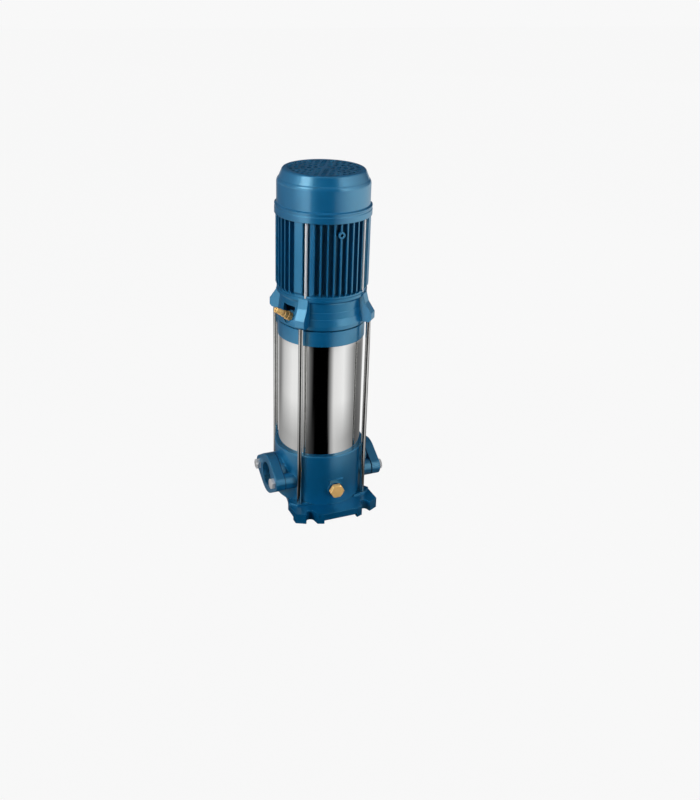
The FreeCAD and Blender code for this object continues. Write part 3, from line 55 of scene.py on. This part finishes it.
class Recipe:
    """One node material: a Principled shader and short ways to wire textures into it; lengths in metres."""

    def __init__(self, name, colour, roughness, metallic=0.0, **uniform):
        self.material = bpy.data.materials.new(name)
        self.material.use_nodes = True
        self.tree = self.material.node_tree
        self.shader = self.tree.nodes["Principled BSDF"]
        self.colour = (*colour, 1)
        self.put("Base Color", self.colour)
        self.put("Metallic", metallic)
        self.put("Roughness", roughness)
        for socket, number in uniform.items():
            self.put(socket.replace("_", " "), number)
        self.normal = None
        self.material.diffuse_color = self.colour

    def put(self, socket, number):
        self.shader.inputs[socket].default_value = number

    def add(self, kind, **settings):
        """New node; each setting is the value of an input or else a property."""
        item = self.tree.nodes.new(kind)
        for key, setting in settings.items():
            if key in item.inputs:
                item.inputs[key].default_value = setting
            else:
                setattr(item, key, setting)
        return item

    def wire(self, source, target):
        self.tree.links.new(source, target)

    def place(self, stretch=(1, 1, 1)):
        """Object coordinates in metres, stretched."""
        where = self.add("ShaderNodeTexCoord")
        scale = self.add("ShaderNodeMapping", Scale=stretch)
        self.wire(where.outputs["Object"], scale.inputs["Vector"])
        return scale.outputs["Vector"]

    def noise(self, size, detail, stretch=(1, 1, 1)):
        """Noise whose lumps measure about size."""
        item = self.add("ShaderNodeTexNoise", Scale=1 / size, Detail=detail, Roughness=NOISE_ROUGHNESS)
        self.wire(self.place(stretch), item.inputs["Vector"])
        return item.outputs["Fac"]

    def ramp(self, source, low, high, start=0.0, end=1.0):
        """Number that goes from start to end while the source goes from low to high."""
        limits = {"From Min": low, "From Max": high, "To Min": start, "To Max": end}
        item = self.add("ShaderNodeMapRange", **limits)
        self.wire(source, item.inputs["Value"])
        return item.outputs["Result"]

    def times(self, a, b):
        item = self.add("ShaderNodeMath", operation="MULTIPLY")
        self.wire(a, item.inputs[0])
        if isinstance(b, (int, float)):
            item.inputs[1].default_value = b
        else:
            self.wire(b, item.inputs[1])
        return item.outputs["Value"]

    def tint(self, factor, colour):
        """Mix a colour over what the base colour shows so far."""
        mix = self.add("ShaderNodeMix", data_type="RGBA")
        socket = self.shader.inputs["Base Color"]
        if socket.is_linked:
            self.wire(socket.links[0].from_socket, mix.inputs[6])
        else:
            mix.inputs[6].default_value = self.colour
        mix.inputs[7].default_value = (*colour, 1)
        self.wire(factor, mix.inputs["Factor"])
        self.wire(mix.outputs[2], socket)

    def rough(self, source, low, high):
        """Let the roughness follow the source between low and high."""
        self.wire(self.ramp(source, NOISE_LOW, NOISE_HIGH, low, high), self.shader.inputs["Roughness"])

    def bevel(self, radius):
        return self.add("ShaderNodeBevel", samples=BEVEL_SAMPLES, Radius=radius).outputs["Normal"]

    def round_edges(self, radius):
        """Shade the hard edges as if they were rounded by this radius."""
        self.normal = self.bevel(radius)
        self.wire(self.normal, self.shader.inputs["Normal"])

    def bump(self, source, height, strength):
        """Relief of this height over what the normal does so far."""
        item = self.add("ShaderNodeBump", Strength=strength, Distance=height)
        self.wire(source, item.inputs["Height"])
        if self.normal:
            self.wire(self.normal, item.inputs["Normal"])
        self.normal = item.outputs["Normal"]
        self.wire(self.normal, self.shader.inputs["Normal"])

    def edges(self, radius):
        """1 on convex and concave edges, 0 on flats."""
        flat = self.add("ShaderNodeNewGeometry")
        dot = self.add("ShaderNodeVectorMath", operation="DOT_PRODUCT")
        self.wire(self.bevel(radius), dot.inputs[0])
        self.wire(flat.outputs["Normal"], dot.inputs[1])
        return self.ramp(dot.outputs["Value"], EDGE_START, EDGE_FULL)

    def crevices(self, reach, low, high):
        """1 in corners and slots, 0 in the open."""
        item = self.add("ShaderNodeAmbientOcclusion", samples=CREVICE_SAMPLES, Distance=reach)
        return self.ramp(item.outputs["AO"], high, low)


BLUE = (0.0006, 0.080, 0.205)
BLUE_LIGHT = (0.0012, 0.094, 0.236)
BLUE_DEEP = (0.0004, 0.062, 0.164)
GLOSS_TINT = (0.24, 0.74, 1.0, 1)
LIGHT_EDGE_WEAR_AND_HIGHLIGHT = (0.075, 0.225, 0.380)
CREVICE_SHADE_COLOUR = (0.001, 0.008, 0.018)
PAINT_IOR, COAT_IOR, COAT_ROUGHNESS = 2.2, 2.0, 0.10
# Sizes of the lumps in the paint: colour, sheen, edge wear with painted edge highlight, and relief.
CLOUDS, BLOTCHES, SHEEN, CHIPS = 0.060, 0.020, 0.014, 0.006
ORANGE_PEEL, WAVES, WAVES_TO_PEEL = 0.0020, 0.009, 2.2
WORN_AND_LIT_EDGE_RADIUS, CREVICE_SHADE_REACH = 0.0012, 0.012


def enamel(name, grain, edge_radius, coat, roughness):
    """Gloss blue paint; grain is the relief of the surface under it. The range of roughness is narrow,
    because a gloss that changes from spot to spot breaks the reflections up into specks."""
    m = Recipe(name, BLUE, roughness, IOR=PAINT_IOR, Specular_IOR_Level=1.0, Specular_Tint=GLOSS_TINT,
               Coat_Weight=coat, Coat_Roughness=COAT_ROUGHNESS, Coat_IOR=COAT_IOR)
    m.tint(m.ramp(m.noise(CLOUDS, 2), 0.38, 0.70), BLUE_LIGHT)
    m.tint(m.times(m.ramp(m.noise(BLOTCHES, 3), 0.45, 0.75), 0.4), BLUE_DEEP)
    # Painted shade: the paint turns near black in corners and slots, following an occlusion mask.
    m.tint(m.times(m.crevices(CREVICE_SHADE_REACH, 0.20, 0.60), 0.85), CREVICE_SHADE_COLOUR)
    # Lighter blue on chipped edges: partly edge wear, partly a painted edge highlight.
    worn_and_lit_edges = m.times(m.edges(WORN_AND_LIT_EDGE_RADIUS), m.ramp(m.noise(CHIPS, 4), 0.50, 0.66))
    m.tint(m.times(worn_and_lit_edges, 0.45), LIGHT_EDGE_WEAR_AND_HIGHLIGHT)
    m.rough(m.noise(SHEEN, 3), roughness * 0.96, roughness * 1.12)
    m.round_edges(edge_radius)
    m.bump(m.noise(ORANGE_PEEL, 2), grain, 0.55)
    m.bump(m.noise(WAVES, 2), grain * WAVES_TO_PEEL, 0.45)
    return m.material


SMALL_EDGE = 0.0005
TARNISH, TARNISH_SHADE = 0.020, 0.72
STAIN_SPOTS, METAL_CREVICE_SHADE_REACH, METAL_CREVICE_SHADE_DARKNESS = 0.0045, 0.003, 0.22


def metal(name, colour, roughness, brushed=(1, 1, 1), grain=0.0006, depth=0.00002, stain=None, metallic=1.0,
          crevice_shade=0.4):
    """Bare or plated metal with tarnish; with a stain it also has spots, and painted shade that darkens its
    corners.
    """
    m = Recipe(name, colour, roughness, metallic)
    darker = tuple(part * TARNISH_SHADE for part in colour)
    m.tint(m.times(m.ramp(m.noise(TARNISH, 4), 0.42, 0.72), 0.4), darker)
    if stain:
        m.tint(m.times(m.ramp(m.noise(STAIN_SPOTS, 5), 0.52, 0.70), 0.35), stain)
        # Painted shade: a darker stain colour in corners and between rings, following an occlusion mask.
        m.tint(m.times(m.crevices(METAL_CREVICE_SHADE_REACH, 0.25, 0.80), crevice_shade), tuple(part * METAL_CREVICE_SHADE_DARKNESS for part in stain))
    m.rough(m.noise(grain * 3, 3, brushed), roughness * 0.8, roughness * 1.3)
    m.round_edges(SMALL_EDGE)
    m.bump(m.noise(grain, 3, brushed), depth, 0.5)
    return m.material


HAZE, FINGER_MARKS, POLISHING_GRAIN = 0.030, 0.05, 0.0007
HAZE_TINT = (0.74, 0.75, 0.76)


def polished():
    """Mirror-bright sheet with a faint lengthways polishing grain and finger haze."""
    m = Recipe("polished_stainless", (0.87, 0.87, 0.86), 0.06, metallic=1.0)
    m.rough(m.noise(HAZE, 4, (1, 1, 0.35)), 0.035, 0.11)
    m.tint(m.times(m.ramp(m.noise(FINGER_MARKS, 3, (1, 1, 0.2)), 0.45, 0.8), 0.25), HAZE_TINT)
    m.bump(m.noise(POLISHING_GRAIN, 2, (1, 1, 0.02)), 0.000010, 0.35)
    return m.material


MOTTLE, MATT_SHEEN = 0.008, 0.004


def moulded(name, colour, roughness, grain=0.0004, depth=0.00006):
    """Rubber, plastic, fibre or carbon with a fine grain and a lighter mottle."""
    m = Recipe(name, colour, roughness, Specular_IOR_Level=0.4)
    lighter = tuple(part * 1.5 + 0.01 for part in colour)
    m.tint(m.times(m.ramp(m.noise(MOTTLE, 4), 0.4, 0.7), 0.5), lighter)
    m.rough(m.noise(MATT_SHEEN, 3), roughness * 0.85, min(1.0, roughness * 1.2))
    m.round_edges(SMALL_EDGE)
    m.bump(m.noise(grain, 3), depth, 0.6)
    return m.material


def laminations():
    """Fine stack lines across the axis, for cores seen only when taken apart."""
    m = Recipe("laminations", (0.33, 0.33, 0.34), 0.42, metallic=1.0)
    wave = m.add("ShaderNodeTexWave", bands_direction="Z", Scale=300, Distortion=0.4)
    m.wire(m.place(), wave.inputs["Vector"])
    m.tint(m.times(wave.outputs["Fac"], 0.5), (0.12, 0.12, 0.13))
    m.bump(wave.outputs["Fac"], 0.0001, 0.5)
    return m.material


LOOKS = {
    "blue_casting": enamel("blue_casting", 0.00003, 0.0011, 0.28, 0.292),
    "blue_cowl": enamel("blue_cowl", 0.00001, 0.0016, 0.42, 0.290),
    "polished_stainless": polished(),
    "steel_rod": metal("steel_rod", (0.62, 0.62, 0.61), 0.16, brushed=(1, 1, 0.05)),
    "zinc_steel": metal("zinc_steel", (0.93, 0.94, 0.95), 0.36, stain=(0.86, 0.87, 0.86), metallic=0.65,
                        crevice_shade=0.15),
    "brass": metal("brass", (1.0, 0.62, 0.23), 0.36, stain=(0.90, 0.48, 0.14), metallic=0.30, crevice_shade=1.0),
    "machined_steel": metal("machined_steel", (0.52, 0.52, 0.53), 0.36, brushed=(0.1, 0.1, 1)),
    "bearing_steel": metal("bearing_steel", (0.66, 0.67, 0.68), 0.10),
    "seal_rubber": moulded("seal_rubber", (0.020, 0.020, 0.022), 0.70),
    "gasket_fibre": moulded("gasket_fibre", (0.006, 0.036, 0.075), 0.80, 0.0009, 0.00012),
    "carbon_face": moulded("carbon_face", (0.035, 0.035, 0.038), 0.38, 0.0003, 0.00002),
    "moulded_stage": moulded("moulded_stage", (0.055, 0.055, 0.060), 0.48),
    "laminations": laminations(),
    "copper_winding": metal("copper_winding", (0.60, 0.24, 0.10), 0.36, grain=0.0012, depth=0.0003,
                            stain=(0.30, 0.10, 0.04)),
    "fan_plastic": moulded("fan_plastic", (0.016, 0.016, 0.018), 0.45),
    "gland_plastic": moulded("gland_plastic", (0.024, 0.024, 0.026), 0.50),
    "aluminium_shield": metal("aluminium_shield", (0.62, 0.62, 0.63), 0.40, grain=0.0012, depth=0.00008),
}

for part in frame["record"]["subparts"]:
    solid = nodes[part["node"]]
    solid.data.materials.clear()
    solid.data.materials.append(LOOKS[part["material_slot"]])


# Fine pieces, in millimetres

MM = 0.001


def piece_of(name, points, faces, slot):
    """Mesh piece that rides on the pump's body."""
    mesh = bpy.data.meshes.new(name)
    mesh.from_pydata([[number * MM for number in point] for point in points], [], faces)
    item = bpy.data.objects.new(name, mesh)
    bpy.context.scene.collection.objects.link(item)
    built = bmesh.new()
    built.from_mesh(mesh)
    bmesh.ops.recalc_face_normals(built, faces=built.faces)
    built.to_mesh(mesh)
    built.free()
    mesh.materials.append(LOOKS[slot])
    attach(item, "pump")
    return item


PORT_HEIGHT = 56
THREAD_PITCH, THREAD_ROOT, THREAD_CREST = 2.309, 20.93, 19.65
THREAD_START, THREAD_TURNS, THREAD_RUN_OUTS = 81.2, 6.5, 3
# Half widths of the ridge in pitches, at its root and at its crest.
ROOT_HALF, CREST_HALF = 0.46, 0.10
STEPS_ROUND = 72


def port_thread(name, side):
    """Helical ridge inside a counter flange, rising inwards from the plain bore and running out at both
    ends within part of a turn; side is 1 or -1."""
    profile = ((THREAD_ROOT, -ROOT_HALF), (THREAD_CREST, -CREST_HALF), (THREAD_CREST, CREST_HALF),
               (THREAD_ROOT, ROOT_HALF))
    points, faces = [], []
    count = int(THREAD_TURNS * STEPS_ROUND)
    for step in range(count + 1):
        turn = step / STEPS_ROUND
        fade = min(1.0, turn * THREAD_RUN_OUTS, (count - step) / STEPS_ROUND * THREAD_RUN_OUTS)
        for radius, along in profile:
            reach = THREAD_ROOT - (THREAD_ROOT - radius) * fade
            x = THREAD_START + (turn + along + 0.5) * THREAD_PITCH
            angle = turn * math.tau
            points.append((side * x, reach * math.cos(angle), PORT_HEIGHT + side * reach * math.sin(angle)))
        if step:
            old, new = (step - 1) * 4, step * 4
            faces += [(old + k, old + k + 1, new + k + 1, new + k) for k in range(3)]
            faces.append((old + 3, old, new, new + 3))
    faces += [(0, 1, 2, 3), tuple(count * 4 + k for k in range(4))]
    return piece_of(name, points, faces, "blue_casting")


port_thread("suction_thread", -1)
port_thread("discharge_thread", 1)

LID_SCREWS = ((-33, 425.5), (33, 425.5), (-33, 503.5), (33, 503.5))
LID_FACE, HEAD_RISE, HEAD_RADIUS = 102.3, 2.0, 3.0
HEAD_ROUNDING, ROUNDING_STEPS = 1.0, 6
CROSS_ARM, CROSS_HALF, CROSS_DEPTH, CROSS_TAPER = 1.7, 0.35, 1.2, 0.7
HEAD_STEPS = 32


def cross_outline():
    """Corners of the recess, each arm in turn."""
    a, h = CROSS_ARM, CROSS_HALF
    return ((a, -h), (a, h), (h, h), (h, a), (-h, a), (-h, h),
            (-a, h), (-a, -h), (-h, -h), (-h, -a), (h, -a), (h, -h))


def join_loops(built, low, high):
    """Band of faces between two closed loops with as many points."""
    for k in range(len(low)):
        after = (k + 1) % len(low)
        built.faces.new((low[k], low[after], high[after], high[k]))


def loop_edges(built, loop):
    return [built.edges.get(pair) for pair in zip(loop, loop[1:] + loop[:1])]


def lid_screw(name, x, z):
    """Pan head on the lid with a cross recess, its axis along Y."""
    rings = [(HEAD_RADIUS, 0.0)]
    for k in range(ROUNDING_STEPS + 1):
        turn = math.pi / 2 * k / ROUNDING_STEPS
        rings.append((HEAD_RADIUS - HEAD_ROUNDING * (1 - math.cos(turn)),
                      HEAD_RISE - HEAD_ROUNDING * (1 - math.sin(turn))))
    built = bmesh.new()
    loops = [[built.verts.new((x + radius * math.cos(k * math.tau / HEAD_STEPS), LID_FACE + rise,
                               z + radius * math.sin(k * math.tau / HEAD_STEPS)))
              for k in range(HEAD_STEPS)] for radius, rise in rings]
    for low, high in zip(loops, loops[1:]):
        join_loops(built, low, high)
    built.faces.new(loops[0])
    mouth = [built.verts.new((x + u, LID_FACE + HEAD_RISE, z + v)) for u, v in cross_outline()]
    floor = [built.verts.new((x + u * CROSS_TAPER, LID_FACE + HEAD_RISE - CROSS_DEPTH, z + v * CROSS_TAPER))
             for u, v in cross_outline()]
    join_loops(built, mouth, floor)
    built.faces.new(floor)
    rim = loop_edges(built, loops[-1]) + loop_edges(built, mouth)
    bmesh.ops.triangle_fill(built, edges=rim, use_beauty=True)
    built.verts.index_update()
    points = [tuple(vert.co) for vert in built.verts]
    faces = [tuple(vert.index for vert in face.verts) for face in built.faces]
    built.free()
    return piece_of(name, points, faces, "zinc_steel")


for number, (across_lid, up) in enumerate(LID_SCREWS, 1):
    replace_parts(lid_screw(f"lid_screw_{number}", across_lid, up), "lid_screws")


# Studio

def square(half, height):
    return [(x * half, y * half, height) for x, y in ((-1, -1), (1, -1), (1, 1), (-1, 1))]


def stage_plane(name, corners, material, **hidden):
    """Plane that belongs to the studio; hidden says which kinds of ray see it."""
    mesh = bpy.data.meshes.new(name)
    mesh.from_pydata(corners, [], [(0, 1, 2, 3)])
    item = bpy.data.objects.new(name, mesh)
    bpy.context.scene.collection.objects.link(item)
    item.data.materials.append(material)
    for flag, shown in hidden.items():
        setattr(item, flag, shown)
    return item


def background_share(tree, seen, mirrored):
    """How much of the plain white background a ray gets: seen straight or through glass, or mirrored."""
    light = tree.nodes.new("ShaderNodeLightPath")
    total = None
    for name, share in (("Is Camera Ray", seen), ("Is Transmission Ray", seen), ("Is Glossy Ray", mirrored)):
        part = tree.nodes.new("ShaderNodeMath")
        part.operation = "MULTIPLY"
        part.inputs[1].default_value = share
        tree.links.new(light.outputs[name], part.inputs[0])
        if total:
            most = tree.nodes.new("ShaderNodeMath")
            most.operation = "MAXIMUM"
            tree.links.new(total, most.inputs[0])
            tree.links.new(part.outputs["Value"], most.inputs[1])
            part = most
        total = part.outputs["Value"]
    return total


FLOOR_SEEN, FLOOR_MIRRORED = 0.93, 0.95
FLOOR_GREY, FLOOR_ROUGHNESS = (0.17, 0.17, 0.17, 1), 0.9


def floor_material():
    """Pale floor that keeps the object's shadow and is near white to the camera."""
    material = bpy.data.materials.new("studio_floor")
    material.use_nodes = True
    tree = material.node_tree
    matt = tree.nodes["Principled BSDF"]
    matt.inputs["Base Color"].default_value = FLOOR_GREY
    matt.inputs["Roughness"].default_value = FLOOR_ROUGHNESS
    white = tree.nodes.new("ShaderNodeEmission")
    white.inputs["Strength"].default_value = 1.0
    mix = tree.nodes.new("ShaderNodeMixShader")
    tree.links.new(background_share(tree, FLOOR_SEEN, FLOOR_MIRRORED), mix.inputs["Fac"])
    tree.links.new(matt.outputs["BSDF"], mix.inputs[1])
    tree.links.new(white.outputs["Emission"], mix.inputs[2])
    tree.links.new(mix.outputs["Shader"], tree.nodes["Material Output"].inputs["Surface"])
    return material


def ramp_of(tree, source, low, high, stops):
    """Grey that follows the source from low to high; its stops are (number, light)."""
    scale = tree.nodes.new("ShaderNodeMapRange")
    scale.inputs["From Min"].default_value, scale.inputs["From Max"].default_value = low, high
    ramp = tree.nodes.new("ShaderNodeValToRGB")
    line = ramp.color_ramp.elements
    for index, (at, light) in enumerate(stops):
        place = (at - low) / (high - low)
        stop = line[0] if index == 0 else line[-1] if index == len(stops) - 1 else line.new(place)
        stop.color = (light, light, light, 1)
    line[0].position, line[-1].position = 0.0, 1.0
    tree.links.new(source, scale.inputs["Value"])
    tree.links.new(scale.outputs["Result"], ramp.inputs["Fac"])
    return ramp.outputs["Color"]


def degrees_round(tree, where):
    """Direction of a point round the vertical axis, from -180 to 180, counted from its X axis."""
    turn = tree.nodes.new("ShaderNodeTexGradient")
    turn.gradient_type = "RADIAL"
    degrees = tree.nodes.new("ShaderNodeMapRange")
    degrees.inputs["To Min"].default_value, degrees.inputs["To Max"].default_value = -180, 180
    tree.links.new(where, turn.inputs["Vector"])
    tree.links.new(turn.outputs["Fac"], degrees.inputs["Value"])
    return degrees.outputs["Result"]


def take_over(tree, source, start, end, before, after):
    """Light that changes from before to after while the source goes from start to end; before and after
    are greys or sockets."""
    share = tree.nodes.new("ShaderNodeMapRange")
    share.inputs["From Min"].default_value, share.inputs["From Max"].default_value = start, end
    both = tree.nodes.new("ShaderNodeMix")
    both.data_type = "RGBA"
    tree.links.new(source, share.inputs["Value"])
    tree.links.new(share.outputs["Result"], both.inputs["Factor"])
    for socket, light in ((both.inputs[6], before), (both.inputs[7], after)):
        if isinstance(light, float):
            socket.default_value = (light, light, light, 1)
        else:
            tree.links.new(light, socket)
    return both.outputs[2]


def card_round(name, rings):
    """Card lit by direction round the pump. Each ring is (lights, start, end): its lights take over
    from those of the ring inside it between the distances start and end from the pump."""
    material = bpy.data.materials.new(name)
    material.use_nodes = True
    tree = material.node_tree
    glow = tree.nodes.new("ShaderNodeEmission")
    tree.links.new(glow.outputs["Emission"], tree.nodes["Material Output"].inputs["Surface"])
    where = tree.nodes.new("ShaderNodeTexCoord").outputs["Object"]
    degrees = degrees_round(tree, where)
    reach = tree.nodes.new("ShaderNodeVectorMath")
    reach.operation = "LENGTH"
    tree.links.new(where, reach.inputs[0])
    seen = None
    for lights, start, end in rings:
        ring = ramp_of(tree, degrees, -180, 180, lights)
        seen = take_over(tree, reach.outputs["Value"], start, end, seen, ring) if seen else ring
    tree.links.new(seen, glow.inputs["Color"])
    return material


FLOOR_HALF = 9
stage_plane("studio_floor", square(FLOOR_HALF, 0), floor_material())

CAMERA_AZIMUTH = math.radians(-22.63)


def round_the_pump(azimuth, distance, height):
    """A point round the pump; azimuth in degrees from the camera's side, towards +X."""
    turn = CAMERA_AZIMUTH + math.radians(azimuth)
    return Vector((math.sin(turn) * distance, -math.cos(turn) * distance, height))


# Light by direction in degrees from the camera, for what the foot, the sleeve, the frame and the rest of the
# motor mirror, and for the sky over them.
DUSK = 0.14
FOOT = ((-180, DUSK), (-110, DUSK), (-75, 0.27), (-40, 0.028), (-20, 0.0), (22, 0.0), (40, 0.028),
        (65, 0.082), (110, DUSK), (180, DUSK))
SLEEVE_LOW = ((-180, 0.45), (-132, 0.28), (-110, 0.36), (-70, 0.50), (-48, 0.46), (-36, 0.14), (-22, 0.04),
              (-10, 0.0), (23, 0.0), (29, 0.36), (38, 0.62), (60, 0.52), (85, 0.30), (110, 0.10), (140, 0.15),
              (180, 0.45))
SLEEVE = ((-180, 0.66), (-150, 0.36), (-132, 0.18), (-110, 0.60), (-77, 0.90), (-52, 0.90), (-39, 0.52),
          (-26, 0.13), (-17, 0.0), (20, 0.0), (28, 0.32), (36, 0.82), (64, 0.95), (88, 0.50), (108, 0.12),
          (140, 0.19), (180, 0.66))
MOTOR = ((-180, 0.44), (-140, 0.18), (-115, 0.20), (-78, 0.36), (-58, 0.72), (-44, 1.0), (-33, 1.0),
         (-28, 0.0), (24, 0.0), (30, 0.28), (44, 0.53), (62, 0.85), (77, 1.0), (130, 0.95), (180, 0.44))
FRAME = ((-180, 0.057), (-115, 0.023), (-62, 0.023), (-46, 0.80), (-33, 0.80), (-28, 0.0), (24, 0.0),
         (40, 0.074), (62, 0.19), (84, 0.61), (108, 0.95), (130, 0.70), (180, 0.057))
SKY = ((-180, 0.071), (-127, 0.2), (-86, 0.28), (-68, 0.63), (-56, 0.8), (-34, 0.8), (-29, 0.0), (38, 0.0),
       (46, 0.90), (58, 1.0), (74, 0.85), (90, 0.7), (120, 0.47), (150, 0.071), (180, 0.071))
ZENITH, ZENITH_START, ZENITH_FULL = 0.15, 0.70, 0.90
RUNNER_RINGS = ((FOOT, 0, 0), (SLEEVE_LOW, 0.21, 0.25), (SLEEVE, 0.32, 0.50), (MOTOR, 0.78, 0.90),
                (FRAME, 0.92, 1.16), (MOTOR, 1.66, 1.80))
RUNNER_HALF, RUNNER_HEIGHT = 6, 0.0004

runner = stage_plane(
    "studio_runner", square(RUNNER_HALF, RUNNER_HEIGHT), card_round("studio_runner", RUNNER_RINGS),
    visible_camera=False, visible_diffuse=False, visible_shadow=False, visible_transmission=False)
runner.rotation_euler = (0, 0, CAMERA_AZIMUTH - math.pi / 2)

SKY_ON_MATT, SKY_SEEN, SKY_MIRRORED = 0.13, 0.93, 1.0

world = bpy.data.worlds.new("studio")
bpy.context.scene.world = world
world.use_nodes = True
air = world.node_tree
sky = air.nodes["Background"]
strength = air.nodes.new("ShaderNodeMapRange")
strength.inputs["To Min"].default_value = SKY_ON_MATT
air.links.new(background_share(air, SKY_SEEN, SKY_MIRRORED), strength.inputs["Value"])
air.links.new(strength.outputs["Result"], sky.inputs["Strength"])
level_turn = air.nodes.new("ShaderNodeVectorRotate")
level_turn.rotation_type = "Z_AXIS"
level_turn.inputs["Angle"].default_value = math.pi / 2 - CAMERA_AZIMUTH
air.links.new(air.nodes.new("ShaderNodeTexCoord").outputs["Generated"], level_turn.inputs["Vector"])
height = air.nodes.new("ShaderNodeSeparateXYZ")
air.links.new(level_turn.outputs["Vector"], height.inputs["Vector"])
round_sky = ramp_of(air, degrees_round(air, level_turn.outputs["Vector"]), -180, 180, SKY)
mirrored_sky = take_over(air, height.outputs["Z"], ZENITH_START, ZENITH_FULL, round_sky, ZENITH)
ray = air.nodes.new("ShaderNodeLightPath")
air.links.new(take_over(air, ray.outputs["Is Glossy Ray"], 0, 1, 1.0, mirrored_sky), sky.inputs["Color"])

AIM_HEIGHT = 0.50


def lamp(name, azimuth, distance, height, size, power, spread=180, mirrored=False):
    """Soft lamp aimed at the pump: metres, degrees and watts; only one that is mirrored shows in gloss."""
    data = bpy.data.lights.new(name, "AREA")
    data.shape = "RECTANGLE"
    data.size, data.size_y = size
    data.energy = power
    data.spread = math.radians(spread)
    item = bpy.data.objects.new(name, data)
    bpy.context.scene.collection.objects.link(item)
    item.visible_glossy = mirrored
    item.location = round_the_pump(azimuth, distance, height)
    aim = Vector((0, 0, AIM_HEIGHT)) - item.location
    item.rotation_mode = "QUATERNION"
    item.rotation_quaternion = aim.to_track_quat("-Z", "Y")


lamp("key_left", -48, 1.9, 1.0, (0.9, 1.2), 4.0, spread=46)
lamp("fill_right", 52, 2.1, 0.9, (0.8, 1.3), 2.7, spread=46)
lamp("top_soft", 10, 0.6, 2.2, (1.2, 1.2), 7)
lamp("back_rim", 165, 1.9, 1.3, (0.9, 0.9), 14)
lamp("facets_left", -50.7, 1.07, 1.30, (0.5, 0.5), 1.4, mirrored=True)

# The camera as fitted to the photograph, whose long side is LONG_SIDE pixels.
LONG_SIDE, FOCAL_PIXELS, SENSOR_WIDTH = 800, 983.1, 36.0
CAMERA_DISTANCE, CAMERA_HEIGHT = 1.5247, 0.9018
YAW, PITCH, ROLL = math.radians(-1.96), math.radians(25.27), math.radians(1.98)
NEAREST, FARTHEST = 0.05, 60

camera = bpy.data.objects.new("camera", bpy.data.cameras.new("camera"))
bpy.context.scene.collection.objects.link(camera)
bpy.context.scene.camera = camera
camera.data.sensor_width = SENSOR_WIDTH
camera.data.lens = FOCAL_PIXELS / LONG_SIDE * SENSOR_WIDTH
camera.data.clip_start, camera.data.clip_end = NEAREST, FARTHEST
heading = CAMERA_AZIMUTH + YAW
ahead = Vector((-math.sin(heading) * math.cos(PITCH), math.cos(heading) * math.cos(PITCH), -math.sin(PITCH)))
level = ahead.cross(Vector((0, 0, 1))).normalized()
upright = level.cross(ahead)
across = level * math.cos(ROLL) + upright * math.sin(ROLL)
above = upright * math.cos(ROLL) - level * math.sin(ROLL)
turned = Matrix((across, above, -ahead)).transposed().to_4x4()
camera.matrix_world = Matrix.Translation(round_the_pump(0, CAMERA_DISTANCE, CAMERA_HEIGHT)) @ turned

bpy.context.scene.view_settings.view_transform = "Standard"
